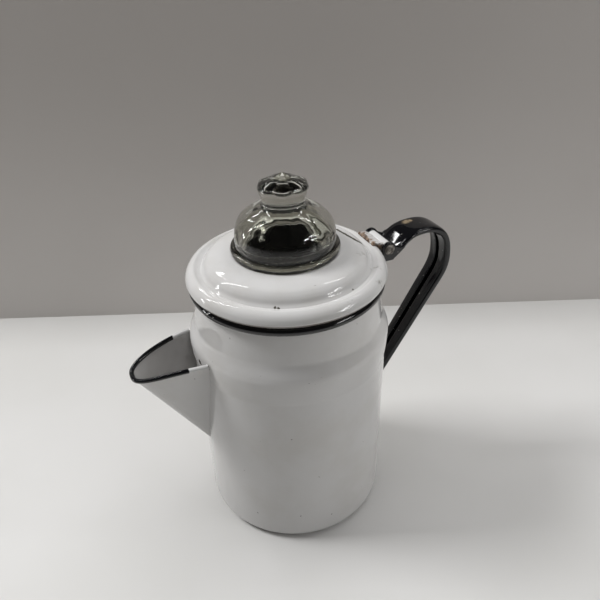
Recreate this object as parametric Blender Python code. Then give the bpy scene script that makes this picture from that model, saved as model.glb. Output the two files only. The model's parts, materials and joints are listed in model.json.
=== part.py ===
# Enamelled steel coffee percolator: pot with a strainer spout, strap handle, hinged lid with a glass
# knob, and the aluminium pump, basket and spreader inside it.
# Metres, +Z up. The origin is the centre of the base. The spout points to -X and the handle to +X.

import math

import bmesh
import bpy
from mathutils import Matrix, Vector

# Clearances
SEAT_GAP = 0.0003
RUNNING_GAP = 0.0004
CUT_OVERRUN = 0.002

# Pot body
POT_FOOT_RADIUS = 0.0598
POT_WALL_FLARE = 0.0007
POT_ROLL_PROUD = 0.0013
POT_SHOULDER_DRAW = 0.0044
POT_NECK_DRAW = 0.0014
POT_WALL = 0.0014
POT_FOOT_FILLET = 0.007
POT_STEP_HEIGHT = 0.1192
POT_ROLL_RISE = 0.0153
POT_SHOULDER_RISE = 0.0130
POT_NECK_RISE = 0.0202
POT_RIM_BEAD = 0.0025

# Strainer holes in the pot wall behind the spout
STRAINER_HOLE_RADIUS = 0.00195
STRAINER_PITCH = 0.0100
STRAINER_TOP_DROP = 0.0040
STRAINER_EDGE = 0.0015

# Spout: a sheet folded round a keel, with a rolled rim
SPOUT_TIP_REACH = 0.0392
SPOUT_TIP_RISE = 0.0085
SPOUT_MOUTH_RISE = 0.0153
SPOUT_MOUTH_HALF_WIDTH = 0.0202
SPOUT_KEEL_HEIGHT = 0.0615
SPOUT_NOSE_EXPONENT = 0.36
SPOUT_RIM_CROWN_SHARE = 0.95
SPOUT_WALL = 0.0012
SPOUT_RIM_BEAD = 0.0018
SPOUT_HOLLOW_SHARE = 1.15

# Lid
LID_WALL = 0.0012
LID_OVERHANG = 0.0011
LID_EDGE_RISE = 0.0036
LID_CREST_RISE = 0.0090
LID_GROOVE_DEPTH = 0.0011
LID_CROWN_RISE = 0.0170
LID_HEM_WIDTH = 0.0042
LID_COLLAR_CLEARANCE = 0.0025
LID_COLLAR_DEPTH = 0.0155
LID_COLLAR_WALL = 0.0010
LID_PLATEAU_SHARES = ((0.32, 0.93), (0.61, 0.78), (0.75, 0.62), (0.85, 0.41), (0.925, 0.15))
LID_FLANGE_SHARES = ((0.20, 0.93), (0.43, 1.0), (0.70, 0.88), (0.89, 0.67))

# Hinge
HINGE_OUTSET = 0.0040
HINGE_RISE = 0.0055
HINGE_PIN_RADIUS = 0.0018
HINGE_HEAD_RADIUS = 0.0037
HINGE_HEAD_HEIGHT = 0.0011
BARREL_RADIUS = 0.0036
LEAF_THICKNESS = 0.0012
LEAF_REACH = 0.0062
EAR_RADIUS = 0.0043
EAR_THICKNESS = 0.0015
EAR_OUTER_HALF_WIDTH = 0.0120
EAR_FOOT_DEPTH = 0.0021

# Handle: sheet rolled into a flat tube that is open along its inner side
HANDLE_TOP_WIDTH = 0.0210
HANDLE_FLARE = 0.0030
HANDLE_FOOT_WIDTH = 0.0145
HANDLE_DEPTH = 0.0056
HANDLE_TOP_DEPTH = 0.0038
HANDLE_SHEET = 0.0012
HANDLE_SLOT = 0.0030
HANDLE_START_RUN = 0.0055
HANDLE_START_DROP = 0.0029
HANDLE_HUMP_RUN = 0.0280
HANDLE_HUMP_RISE = 0.0070
HANDLE_REACH = 0.0538
HANDLE_BEND_DROP = 0.0200
HANDLE_LIMB_DROP = 0.0215
HANDLE_LIMB_INSET = 0.0086
HANDLE_FOOT_HEIGHT = 0.0610
HANDLE_CORNER_EXPONENT = 0.48
HANDLE_FLARE_SHARE = 0.16
HANDLE_BEND_SHARE = 0.42
HANDLE_START_SHARES = (0.35, 0.50)
HANDLE_HUMP_SHARES = (0.68, 0.64)
HANDLE_BEND_SHARES = (0.45, 0.30)

# Glass knob
KNOB_FLANGE_RADIUS = 0.0320
KNOB_FLANGE_THICKNESS = 0.0036
KNOB_BULB_RADIUS = 0.0294
KNOB_HEIGHT = 0.0456
KNOB_WALL = 0.0030
KNOB_NECK_RADIUS = 0.0236
KNOB_NECK_DEPTH = 0.0065
KNOB_LUG_REACH = 0.0028
KNOB_LUG_THICKNESS = 0.0026
KNOB_LUG_ANGLE = math.radians(26)
KNOB_LUG_COUNT = 3
KNOB_TWIST = math.radians(60)
KNOB_HOLLOW_SHARE = 0.56
KNOB_FLUTES = 9
KNOB_FLUTE_DEPTH = 0.0005
KNOB_BULB_SHARES = (
    (1.0, 0.18), (0.985, 0.285), (0.915, 0.395), (0.80, 0.475), (0.645, 0.535), (0.50, 0.578),
    (0.425, 0.618), (0.415, 0.66), (0.45, 0.735), (0.49, 0.815), (0.475, 0.86), (0.36, 0.90),
    (0.20, 0.935), (0.09, 0.975),
)
KNOB_HOLLOW_SHARES = ((1.0, 0.25), (0.98, 0.42), (0.88, 0.60), (0.70, 0.78), (0.45, 0.92), (0.20, 0.99))

# Pump: stem and flared foot
STEM_RADIUS = 0.0045
STEM_WALL = 0.0008
STEM_TOP_RISE = 0.0123
STEM_STOP_DROP = 0.0682
STEM_STOP_PROUD = 0.0022
FOOT_INSET = 0.0070
FOOT_HEIGHT = 0.0220
FOOT_WALL = 0.0010
FOOT_SOCKET_DEPTH = 0.0080
FOOT_LIP = 0.0024
FOOT_NOTCH_RADIUS = 0.0026
FOOT_NOTCHES = 4
FOOT_FLARE_SHARES = ((0.17, 0.55), (0.24, 0.42), (0.42, 0.29), (0.70, 0.20), (0.93, 0.14))

# Basket, its sleeve and the spreader that covers it
BASKET_CLEARANCE = 0.0085
BASKET_TAPER = 0.0025
BASKET_DEPTH = 0.0480
BASKET_WALL = 0.0010
BASKET_FILLET = 0.0050
BASKET_BEAD = 0.0013
SLEEVE_WALL = 0.0009
SLEEVE_FLANGE = 0.0028
SLEEVE_CLEAR_OF_RIM = 0.0010
PERFORATION_RADIUS = 0.0014
PERFORATION_PITCH = 0.0130
SPREADER_RISE = 0.0030
SPREADER_LIP = 0.0040
SPREADER_WALL = 0.0010
SPREADER_COLLAR_HEIGHT = 0.0050

# Facets
POT_STEPS = 40
KNOB_STEPS = 36
INNER_STEPS = 24
SMALL_STEPS = 16
HOLE_SIDES = 8
PERFORATION_SIDES = 6
SMOOTH_ANGLE = math.radians(32)

# Places worked out from the sizes above
POT_STEP_RADIUS = POT_FOOT_RADIUS + POT_WALL_FLARE
POT_CREST_RADIUS = POT_STEP_RADIUS + POT_ROLL_PROUD
POT_WAIST_RADIUS = POT_CREST_RADIUS - POT_SHOULDER_DRAW
POT_RIM_RADIUS = POT_WAIST_RADIUS - POT_NECK_DRAW
POT_CREST_HEIGHT = POT_STEP_HEIGHT + POT_ROLL_RISE
POT_WAIST_HEIGHT = POT_CREST_HEIGHT + POT_SHOULDER_RISE
POT_RIM_HEIGHT = POT_WAIST_HEIGHT + POT_NECK_RISE
SPOUT_TIP_HEIGHT = POT_STEP_HEIGHT + SPOUT_TIP_RISE
SPOUT_MOUTH_HEIGHT = POT_STEP_HEIGHT + SPOUT_MOUTH_RISE
RIM_INNER_RADIUS = POT_RIM_RADIUS - POT_RIM_BEAD
RIM_OUTER_RADIUS = POT_RIM_RADIUS + POT_RIM_BEAD
RIM_TOP = POT_RIM_HEIGHT + POT_RIM_BEAD
LID_BASE = RIM_TOP + SEAT_GAP
LID_RADIUS = RIM_OUTER_RADIUS + LID_OVERHANG
LID_SEAT_HEIGHT = LID_BASE + LID_CROWN_RISE
COLLAR_RADIUS = RIM_INNER_RADIUS - LID_COLLAR_CLEARANCE
GROOVE_RADIUS = COLLAR_RADIUS - LID_COLLAR_WALL / 2
GROOVE_HEIGHT = LID_BASE + LID_CREST_RISE - LID_GROOVE_DEPTH
HINGE_X = LID_RADIUS + HINGE_OUTSET
HINGE_Z = LID_BASE + HINGE_RISE
HANDLE_BEND_HEIGHT = HINGE_Z - HANDLE_BEND_DROP
EAR_INNER_HALF_WIDTH = EAR_OUTER_HALF_WIDTH - EAR_THICKNESS
LID_HOLE_RADIUS = KNOB_NECK_RADIUS + RUNNING_GAP
KNOB_BASE = LID_SEAT_HEIGHT + SEAT_GAP
POT_FLOOR = POT_WALL
FOOT_BASE = POT_FLOOR + SEAT_GAP
STEM_TOP_HEIGHT = RIM_TOP + STEM_TOP_RISE
STEM_STOP_HEIGHT = RIM_TOP - STEM_STOP_DROP
BASKET_RADIUS = RIM_INNER_RADIUS - BASKET_CLEARANCE
FOOT_RADIUS = BASKET_RADIUS - FOOT_INSET
SLEEVE_BORE = STEM_RADIUS + RUNNING_GAP
SLEEVE_RADIUS = SLEEVE_BORE + SLEEVE_WALL
SLEEVE_BASE = STEM_STOP_HEIGHT + STEM_STOP_PROUD + SEAT_GAP
BASKET_BASE = SLEEVE_BASE + SLEEVE_WALL + SEAT_GAP
BASKET_RIM = BASKET_BASE + BASKET_DEPTH
SPREADER_BASE = BASKET_RIM + BASKET_BEAD + SEAT_GAP


def clear_scene():
    for obj in list(bpy.context.scene.objects):
        bpy.data.objects.remove(obj, do_unlink=True)


def make_material(name, color, roughness, metallic=0.0, transmission=0.0):
    material = bpy.data.materials.new(name)
    material.use_nodes = True
    shader = material.node_tree.nodes["Principled BSDF"]
    shader.inputs["Base Color"].default_value = (*color, 1.0)
    shader.inputs["Roughness"].default_value = roughness
    shader.inputs["Metallic"].default_value = metallic
    shader.inputs["Transmission Weight"].default_value = transmission
    return material


def add_object(name, bm, material=None):
    """Puts a bmesh into the scene as an object shaded smooth up to SMOOTH_ANGLE."""
    bmesh.ops.recalc_face_normals(bm, faces=bm.faces)
    mesh = bpy.data.meshes.new(name)
    bm.to_mesh(mesh)
    bm.free()
    mesh.shade_smooth()
    mesh.set_sharp_from_angle(angle=SMOOTH_ANGLE)
    if material:
        mesh.materials.append(material)
    obj = bpy.data.objects.new(name, mesh)
    bpy.context.scene.collection.objects.link(obj)
    return obj


def as_cutter(obj):
    obj.hide_render = True
    obj.display_type = "WIRE"
    return obj


def combine(obj, other, operation):
    modifier = obj.modifiers.new(operation.title(), "BOOLEAN")
    modifier.operation = operation
    modifier.solver = "EXACT"
    modifier.object = as_cutter(other)


def spin_profile(profile, steps):
    """Turns a closed profile of (radius, height) points round Z. Points on the axis become one pole."""
    bm = bmesh.new()
    verts = [bm.verts.new((r, 0, z)) for r, z in profile]
    edges = [bm.edges.new(pair) for pair in zip(verts, verts[1:])]
    if profile[0][0] > 0 or profile[-1][0] > 0:
        edges.append(bm.edges.new((verts[-1], verts[0])))
    bmesh.ops.spin(
        bm, geom=verts + edges, cent=(0, 0, 0), axis=(0, 0, 1), angle=math.tau, steps=steps,
        use_merge=True, use_normal_flip=False, use_duplicate=False,
    )
    bmesh.ops.remove_doubles(bm, verts=bm.verts, dist=SEAT_GAP / 100)
    return bm


def turned(name, profile, steps, material=None):
    return add_object(name, spin_profile(profile, steps), material)


def arc(centre_r, centre_z, radius, start_deg, end_deg, steps):
    angles = [math.radians(start_deg + (end_deg - start_deg) * i / steps) for i in range(steps + 1)]
    return [(centre_r + radius * math.cos(a), centre_z + radius * math.sin(a)) for a in angles]


def offset(points, distance):
    """Moves an outline sideways: to the right of its direction of travel where distance is positive."""
    moved = []
    for i, (r, z) in enumerate(points):
        before = Vector(points[i]) - Vector(points[max(i - 1, 0)])
        after = Vector(points[min(i + 1, len(points) - 1)]) - Vector(points[i])
        along = (before.normalized() + after.normalized()).normalized()
        moved.append((max(r + along.y * distance, 0), z - along.x * distance))
    return moved


def between(start, end, shares):
    """Points at shares of the way from start to end, in each direction by itself."""
    return [(start[0] + (end[0] - start[0]) * u, start[1] + (end[1] - start[1]) * v) for u, v in shares]


def bezier(a, b, c, d, steps):
    points = []
    for i in range(steps + 1):
        t = i / steps
        weights = ((1 - t) ** 3, 3 * t * (1 - t) ** 2, 3 * t**2 * (1 - t), t**3)
        points.append(sum((Vector(p) * w for p, w in zip((a, b, c, d), weights)), Vector((0, 0))))
    return points


def loft(rings, closed_ends=True):
    """Joins rings of the same number of points into one skin."""
    bm = bmesh.new()
    loops = [[bm.verts.new(point) for point in ring] for ring in rings]
    for low, high in zip(loops, loops[1:]):
        for i in range(len(low)):
            j = (i + 1) % len(low)
            bm.faces.new((low[i], low[j], high[j], high[i]))
    if closed_ends:
        bm.faces.new(reversed(loops[0]))
        bm.faces.new(loops[-1])
    return bm


def prism(outline, low, high):
    """An outline of (x, z) points made solid along Y between low and high."""
    return loft([[(x, y, z) for x, z in outline] for y in (low, high)])


def cylinder(radius, low, high, sides, matrix=None):
    bm = bmesh.new()
    bmesh.ops.create_cone(
        bm, cap_ends=True, segments=sides, radius1=radius, radius2=radius, depth=high - low,
        matrix=Matrix.Translation((0, 0, (low + high) / 2)),
    )
    bmesh.ops.transform(bm, matrix=matrix or Matrix(), verts=bm.verts)
    return bm


def join_into(bm, other):
    """Adds the faces of another bmesh, as separate bodies of the same mesh."""
    mesh = bpy.data.meshes.new("joined")
    other.to_mesh(mesh)
    other.free()
    bm.from_mesh(mesh)
    bpy.data.meshes.remove(mesh)


def pot_outline(grow=0.0):
    """The pot's outer side from the base's centre up to the top of the rim bead."""
    foot = POT_FOOT_RADIUS - POT_FOOT_FILLET
    points = [(0, -grow)]
    points += arc(foot, POT_FOOT_FILLET, POT_FOOT_FILLET + grow, -90, 0, 4)
    roll = POT_CREST_HEIGHT - POT_STEP_HEIGHT
    for i in range(3):
        t = i / 3
        radius = POT_CREST_RADIUS - (POT_CREST_RADIUS - POT_STEP_RADIUS) * (1 - t) ** 2
        points.append((radius + grow, POT_STEP_HEIGHT + roll * t))
    fall = POT_WAIST_HEIGHT - POT_CREST_HEIGHT
    for i in range(5):
        t = i / 4
        radius = POT_WAIST_RADIUS + (POT_CREST_RADIUS - POT_WAIST_RADIUS) * (1 + math.cos(math.pi * t)) / 2
        points.append((radius + grow, POT_CREST_HEIGHT + fall * t))
    neck = RIM_INNER_RADIUS + POT_WALL - POT_RIM_RADIUS
    section = POT_RIM_BEAD + grow
    start = 360 - math.degrees(math.acos((neck + grow) / section))
    points += arc(POT_RIM_RADIUS, POT_RIM_HEIGHT, section, start, 450, 6)
    return points


def make_pot_envelope():
    """The space that the pot takes, with a seat's gap, for pieces that are fitted against it."""
    outline = pot_outline(SEAT_GAP)
    return turned("pot_envelope", [*outline, (0, outline[-1][1])], POT_STEPS)


def make_pot_body(material):
    outer = pot_outline()
    wall = [p for p in outer if POT_FOOT_FILLET <= p[1] < POT_RIM_HEIGHT - POT_RIM_BEAD]
    inner = arc(POT_RIM_RADIUS, POT_RIM_HEIGHT, POT_RIM_BEAD, 120, 180, 2)
    inner += [(r - POT_WALL, z) for r, z in reversed(wall)][:-1]
    foot = POT_FOOT_RADIUS - POT_FOOT_FILLET
    inner += arc(foot, POT_FOOT_FILLET, POT_FOOT_FILLET - POT_WALL, 0, -90, 3)
    inner.append((0, POT_FLOOR))
    pot = turned("pot_body", [*outer, *inner], POT_STEPS, material)
    combine(pot, make_strainer_cutter(), "DIFFERENCE")
    return pot


def spout_half_width(height):
    """Half the spout's width where it meets the pot, at this height."""
    rise = SPOUT_MOUTH_HEIGHT - SPOUT_KEEL_HEIGHT
    return SPOUT_MOUTH_HALF_WIDTH * max(height - SPOUT_KEEL_HEIGHT, 0) / rise


def make_strainer_cutter():
    """Radial holes in upright columns, each column half a pitch off the next, inside the spout's outline."""
    bm = bmesh.new()
    column_step = STRAINER_PITCH * math.cos(math.radians(30))
    top = SPOUT_MOUTH_HEIGHT - STRAINER_TOP_DROP
    columns = int(SPOUT_MOUTH_HALF_WIDTH / column_step)
    for column in range(-columns, columns + 1):
        height = top if column % 2 else top - STRAINER_PITCH / 2
        across = column * column_step
        edge = abs(across) + STRAINER_HOLE_RADIUS + SPOUT_WALL + STRAINER_EDGE
        while spout_half_width(height) > edge:
            turn = math.asin(across / POT_STEP_RADIUS)
            place = Matrix.Rotation(turn, 4, "Z") @ Matrix.Translation((0, 0, height))
            place = place @ Matrix.Rotation(math.radians(-90), 4, "Y")
            inside = POT_FOOT_RADIUS - POT_WALL - CUT_OVERRUN
            outside = POT_CREST_RADIUS + CUT_OVERRUN
            join_into(bm, cylinder(STRAINER_HOLE_RADIUS, inside, outside, HOLE_SIDES, place))
            height -= STRAINER_PITCH
    return add_object("strainer_cutter", bm)


def spout_rim(share, inset=0.0):
    """A point of the spout's rim on its +Y side, from the tip at 0 to the pot at 1."""
    tip = POT_STEP_RADIUS + SPOUT_TIP_REACH - inset
    mouth = POT_STEP_RADIUS - SPOUT_WALL
    rise = SPOUT_MOUTH_HEIGHT - SPOUT_TIP_HEIGHT
    lift = share + SPOUT_RIM_CROWN_SHARE * share * (1 - share)
    width = (SPOUT_MOUTH_HALF_WIDTH - inset) * share**SPOUT_NOSE_EXPONENT
    return Vector((-tip + (tip - mouth) * share, width, SPOUT_TIP_HEIGHT + rise * lift))


def spout_cone(inset, stretch):
    """The solid cone from the keel's lower end to the rim, grown past the rim by stretch.

    The keel meets the pot at SPOUT_KEEL_HEIGHT, and the cone's point lies on its line inside the pot's wall.
    """
    meet = Vector((-POT_STEP_RADIUS - inset, 0, SPOUT_KEEL_HEIGHT + 2 * inset))
    apex = meet + (meet - spout_rim(0, inset)).normalized() * 2 * POT_WALL
    steps = 12
    side = [spout_rim((i / steps) ** 2, inset) for i in range(steps + 1)]
    back = Vector((-POT_STEP_RADIUS + SPOUT_TIP_REACH / 2, side[-1].y, side[-1].z))
    side.append(back)
    side = [apex + (point - apex) * stretch for point in side]
    low_back = Vector((back.x, 0, apex.z))
    bm = bmesh.new()
    left = [bm.verts.new(point) for point in side]
    right = [left[0]] + [bm.verts.new((point.x, -point.y, point.z)) for point in side[1:]]
    foot = bm.verts.new(apex)
    heel = bm.verts.new(low_back)
    for rail in (left, right):
        for a, b in zip(rail, rail[1:-1]):
            bm.faces.new((foot, a, b))
        bm.faces.new((foot, rail[-2], rail[-1], heel))
    for i in range(len(left) - 1):
        corners = (left[i], left[i + 1], right[i + 1], right[i])
        bm.faces.new(dict.fromkeys(corners))
    bm.faces.new((left[-1], right[-1], heel))
    return bm


def make_spout(envelope, material):
    spout = add_object("spout", spout_cone(0.0, 1.0), material)
    combine(spout, add_object("spout_hollow", spout_cone(SPOUT_WALL, SPOUT_HOLLOW_SHARE)), "DIFFERENCE")
    steps = 14
    half = [spout_rim((i / steps) ** 2, SPOUT_WALL / 2) for i in range(steps + 1)]
    path = [Vector((p.x, -p.y, p.z)) for p in reversed(half[1:])] + half
    combine(spout, add_object("spout_rim", tube(path, SPOUT_RIM_BEAD, HOLE_SIDES)), "UNION")
    combine(spout, envelope, "DIFFERENCE")
    return spout


def tube(path, radius, sides):
    """A round rod along a path, with flat ends."""
    rings = []
    for i, point in enumerate(path):
        along = (path[min(i + 1, len(path) - 1)] - path[max(i - 1, 0)]).normalized()
        across = along.cross(Vector((0, 0, 1))).normalized()
        up = across.cross(along)
        turns = [math.tau * k / sides for k in range(sides)]
        rings.append([point + radius * (across * math.cos(a) + up * math.sin(a)) for a in turns])
    return loft(rings)


def handle_path():
    """The handle's outer side in the XZ plane, from the hinge over the hump and down to the pot."""
    start = Vector((HINGE_X + HANDLE_START_RUN, HINGE_Z - HANDLE_START_DROP))
    hump = Vector((HINGE_X + HANDLE_HUMP_RUN, HINGE_Z + HANDLE_HUMP_RISE))
    bend = Vector((POT_STEP_RADIUS + HANDLE_REACH, HANDLE_BEND_HEIGHT))
    limb = Vector((bend.x - HANDLE_LIMB_INSET, bend.y - HANDLE_LIMB_DROP))
    foot = Vector((POT_FOOT_RADIUS, HANDLE_FOOT_HEIGHT))
    slope = (limb - foot).normalized()
    rise, run = HANDLE_START_SHARES
    climb = Vector(((hump.x - start.x) * rise, (hump.y - start.y) * rise * 2))
    path = bezier(start, start + climb, hump - Vector(((hump.x - start.x) * run, 0)), hump, 7)
    over, down = HANDLE_HUMP_SHARES
    path += bezier(
        hump, hump + Vector(((bend.x - hump.x) * over, 0)), bend + Vector((0, (hump.y - bend.y) * down)), bend, 9
    )[1:]
    upper, lower = HANDLE_BEND_SHARES
    path += bezier(
        bend, bend - Vector((0, HANDLE_LIMB_DROP * upper)), limb + slope * HANDLE_LIMB_DROP * lower, limb, 4
    )[1:]
    path += [limb.lerp(foot, i / 3) for i in range(1, 4)]
    return path


def channel_section(width, depth):
    """The rolled sheet's section as (across, out) points: round the outer side and back along the inner."""
    def side(w, d, slot):
        dip = math.asin(min(slot / w, 1) ** (1 / HANDLE_CORNER_EXPONENT))
        points = []
        for i in range(12):
            a = -math.pi / 2 + dip + (math.tau - 2 * dip) * i / 11
            x = math.copysign(abs(math.cos(a)) ** HANDLE_CORNER_EXPONENT, math.cos(a)) * w / 2
            y = math.copysign(abs(math.sin(a)) ** HANDLE_CORNER_EXPONENT, math.sin(a)) * d / 2
            points.append((x, y - depth / 2))
        return points
    outer = side(width, depth, HANDLE_SLOT)
    inner = side(width - 2 * HANDLE_SHEET, depth - 2 * HANDLE_SHEET, HANDLE_SLOT)
    return outer + inner[::-1]


def handle_rings():
    path = handle_path()
    lengths = [0.0]
    for a, b in zip(path, path[1:]):
        lengths.append(lengths[-1] + (b - a).length)
    rings = []
    for i, point in enumerate(path):
        along = (path[min(i + 1, len(path) - 1)] - path[max(i - 1, 0)]).normalized()
        out = Vector((-along.y, along.x))
        share = lengths[i] / lengths[-1]
        flare = max(1 - share / HANDLE_FLARE_SHARE, 0) ** 2
        width = HANDLE_TOP_WIDTH + (HANDLE_FOOT_WIDTH - HANDLE_TOP_WIDTH) * share + HANDLE_FLARE * flare
        growth = min(share / HANDLE_BEND_SHARE, 1)
        depth = HANDLE_TOP_DEPTH + (HANDLE_DEPTH - HANDLE_TOP_DEPTH) * growth
        ring = []
        for across, up in channel_section(width, depth):
            place = point + out * up
            ring.append((place.x, across, place.y))
        rings.append(ring)
    return rings


def make_ears():
    """Two cheeks that run on from the handle's sides, carry the hinge pin and stand on the rim bead."""
    foot_top = RIM_TOP - SEAT_GAP
    foot_base = foot_top - EAR_FOOT_DEPTH
    front = math.sqrt((LID_RADIUS + RUNNING_GAP) ** 2 - EAR_INNER_HALF_WIDTH**2)
    throat, rear = handle_path()[1:3]
    outline = arc(HINGE_X, HINGE_Z, EAR_RADIUS, 20, 165, 7)
    outline += [(front, HINGE_Z - EAR_RADIUS / 3), (front, foot_top)]
    outline += [(POT_RIM_RADIUS, foot_top), (POT_RIM_RADIUS, foot_base), (HINGE_X + BARREL_RADIUS, foot_base)]
    outline += [(HINGE_X + 1.5 * EAR_RADIUS, HINGE_Z - EAR_RADIUS), (rear.x, rear.y - HANDLE_TOP_DEPTH)]
    outline += [(rear.x, rear.y - HANDLE_SHEET), (throat.x, throat.y - HANDLE_SHEET / 2)]
    bm = prism(outline, EAR_INNER_HALF_WIDTH, EAR_OUTER_HALF_WIDTH)
    join_into(bm, prism(outline, -EAR_OUTER_HALF_WIDTH, -EAR_INNER_HALF_WIDTH))
    return add_object("handle_ears", bm)


def hinge_drill(name, radius):
    turn = Matrix.Translation((HINGE_X, 0, HINGE_Z)) @ Matrix.Rotation(math.radians(90), 4, "X")
    reach = EAR_OUTER_HALF_WIDTH + CUT_OVERRUN
    return add_object(name, cylinder(radius, -reach, reach, SMALL_STEPS, turn))


def make_handle(envelope, material):
    handle = add_object("handle", loft(handle_rings()), material)
    combine(handle, make_ears(), "UNION")
    combine(handle, envelope, "DIFFERENCE")
    combine(handle, hinge_drill("ear_drill", HINGE_PIN_RADIUS + SEAT_GAP), "DIFFERENCE")
    return handle


def make_hinge_pin(material):
    """A rivet through both ears and the lid's barrel, headed over at each end."""
    reach = EAR_OUTER_HALF_WIDTH + SEAT_GAP
    crown = HINGE_HEAD_RADIUS / 2
    profile = [
        (0, -reach - HINGE_HEAD_HEIGHT), (crown, -reach - HINGE_HEAD_HEIGHT), (HINGE_HEAD_RADIUS, -reach),
        (HINGE_PIN_RADIUS, -reach), (HINGE_PIN_RADIUS, reach), (HINGE_HEAD_RADIUS, reach),
        (crown, reach + HINGE_HEAD_HEIGHT), (0, reach + HINGE_HEAD_HEIGHT),
    ]
    pin = turned("hinge_pin", profile, SMALL_STEPS, material)
    pin.location = (HINGE_X, 0, HINGE_Z)
    pin.rotation_euler = (math.radians(90), 0, 0)
    return pin


def lid_outline():
    """The lid's upper side from the knob's hole out over the groove and the flange to the hem."""
    seat = (KNOB_FLANGE_RADIUS, LID_SEAT_HEIGHT)
    groove = (GROOVE_RADIUS, GROOVE_HEIGHT)
    plateau = between((seat[0], groove[1]), (groove[0], seat[1]), LID_PLATEAU_SHARES)
    flange = between((groove[0], LID_BASE), (LID_RADIUS, LID_BASE + LID_CREST_RISE), LID_FLANGE_SHARES)
    edge = (LID_RADIUS, LID_BASE + LID_EDGE_RISE)
    points = [seat, *plateau, groove, *flange, edge]
    hem = LID_EDGE_RISE
    return [(LID_HOLE_RADIUS, LID_SEAT_HEIGHT), *points, *arc(LID_RADIUS - hem, LID_BASE + hem, hem, -24, -90, 3)]


def lid_section():
    outer = lid_outline()
    outer.append((LID_RADIUS - LID_EDGE_RISE - LID_HEM_WIDTH / 2, LID_BASE))
    return outer + offset(outer, LID_WALL)[::-1]


def make_lid(frame, material):
    lid = turned("lid", lid_section(), POT_STEPS, material)
    combine(lid, make_lug_notches(), "DIFFERENCE")
    lid.parent = frame
    lid.matrix_parent_inverse = frame.matrix_world.inverted()
    return lid


def lug_outline(turn, radius, widen):
    """A wedge round the knob's neck, as (x, y) points."""
    inner = KNOB_NECK_RADIUS - KNOB_WALL / 2
    half = KNOB_LUG_ANGLE / 2 + widen / radius
    angles = [turn + half * (i / 3 - 1) for i in range(7)]
    outside = [(radius * math.cos(a), radius * math.sin(a)) for a in angles]
    return outside + [(inner * math.cos(a), inner * math.sin(a)) for a in reversed(angles)]


def wedges(low, high, radius, widen, first_turn):
    bm = bmesh.new()
    for i in range(KNOB_LUG_COUNT):
        outline = lug_outline(first_turn + math.tau * i / KNOB_LUG_COUNT, radius, widen)
        join_into(bm, loft([[(x, y, z) for x, y in outline] for z in (low, high)]))
    return bm


def make_lug_notches():
    """Notches in the lid's hole that let the knob's lugs through when it is turned."""
    radius = KNOB_NECK_RADIUS + KNOB_LUG_REACH + RUNNING_GAP
    low = LID_SEAT_HEIGHT - LID_WALL - CUT_OVERRUN
    high = LID_SEAT_HEIGHT + CUT_OVERRUN
    return add_object("lug_notches", wedges(low, high, radius, RUNNING_GAP, KNOB_TWIST))


def make_lid_collar(frame, material):
    """The ring under the lid that drops into the pot's mouth, with its lower edge turned in."""
    top = GROOVE_HEIGHT - LID_WALL - SEAT_GAP
    base = LID_BASE - LID_COLLAR_DEPTH + LID_CREST_RISE
    curl = 2 * LID_COLLAR_WALL
    inside = COLLAR_RADIUS - LID_COLLAR_WALL
    profile = [(inside, top), (COLLAR_RADIUS, top), (COLLAR_RADIUS, base + curl)]
    profile += arc(COLLAR_RADIUS - curl, base + curl, curl, 0, -90, 3)[1:]
    profile += arc(COLLAR_RADIUS - curl, base + curl, curl - LID_COLLAR_WALL, -90, 0, 3)
    collar = turned("lid_collar", profile, POT_STEPS, material)
    collar.parent = frame
    collar.matrix_parent_inverse = frame.matrix_world.inverted()
    return collar


def make_hinge_leaf(frame, material):
    """A tongue that lies on the lid's flange and is rolled into the hinge barrel."""
    half = EAR_INNER_HALF_WIDTH - RUNNING_GAP
    outline = arc(HINGE_X, HINGE_Z, BARREL_RADIUS, -130, 130, 14)
    crest = LID_BASE + LID_CREST_RISE + SEAT_GAP + LEAF_THICKNESS
    tail = LID_RADIUS - LEAF_REACH
    outline += [(LID_RADIUS - LEAF_THICKNESS, crest - LEAF_THICKNESS / 2), (tail + LEAF_THICKNESS, crest)]
    outline += [(tail, crest - LEAF_THICKNESS / 2), (tail, LID_BASE + LID_CREST_RISE - LID_WALL)]
    outline += [(LID_RADIUS - LID_WALL, LID_BASE + LID_EDGE_RISE)]
    leaf = add_object("hinge_leaf", prism(outline, -half, half), material)
    shape = offset(lid_outline(), -SEAT_GAP)
    solid = [(0, shape[0][1]), *shape, (0, shape[-1][1])]
    combine(leaf, turned("lid_envelope", solid, POT_STEPS), "DIFFERENCE")
    combine(leaf, hinge_drill("barrel_drill", HINGE_PIN_RADIUS + SEAT_GAP), "DIFFERENCE")
    leaf.parent = frame
    leaf.matrix_parent_inverse = frame.matrix_world.inverted()
    return leaf


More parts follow.
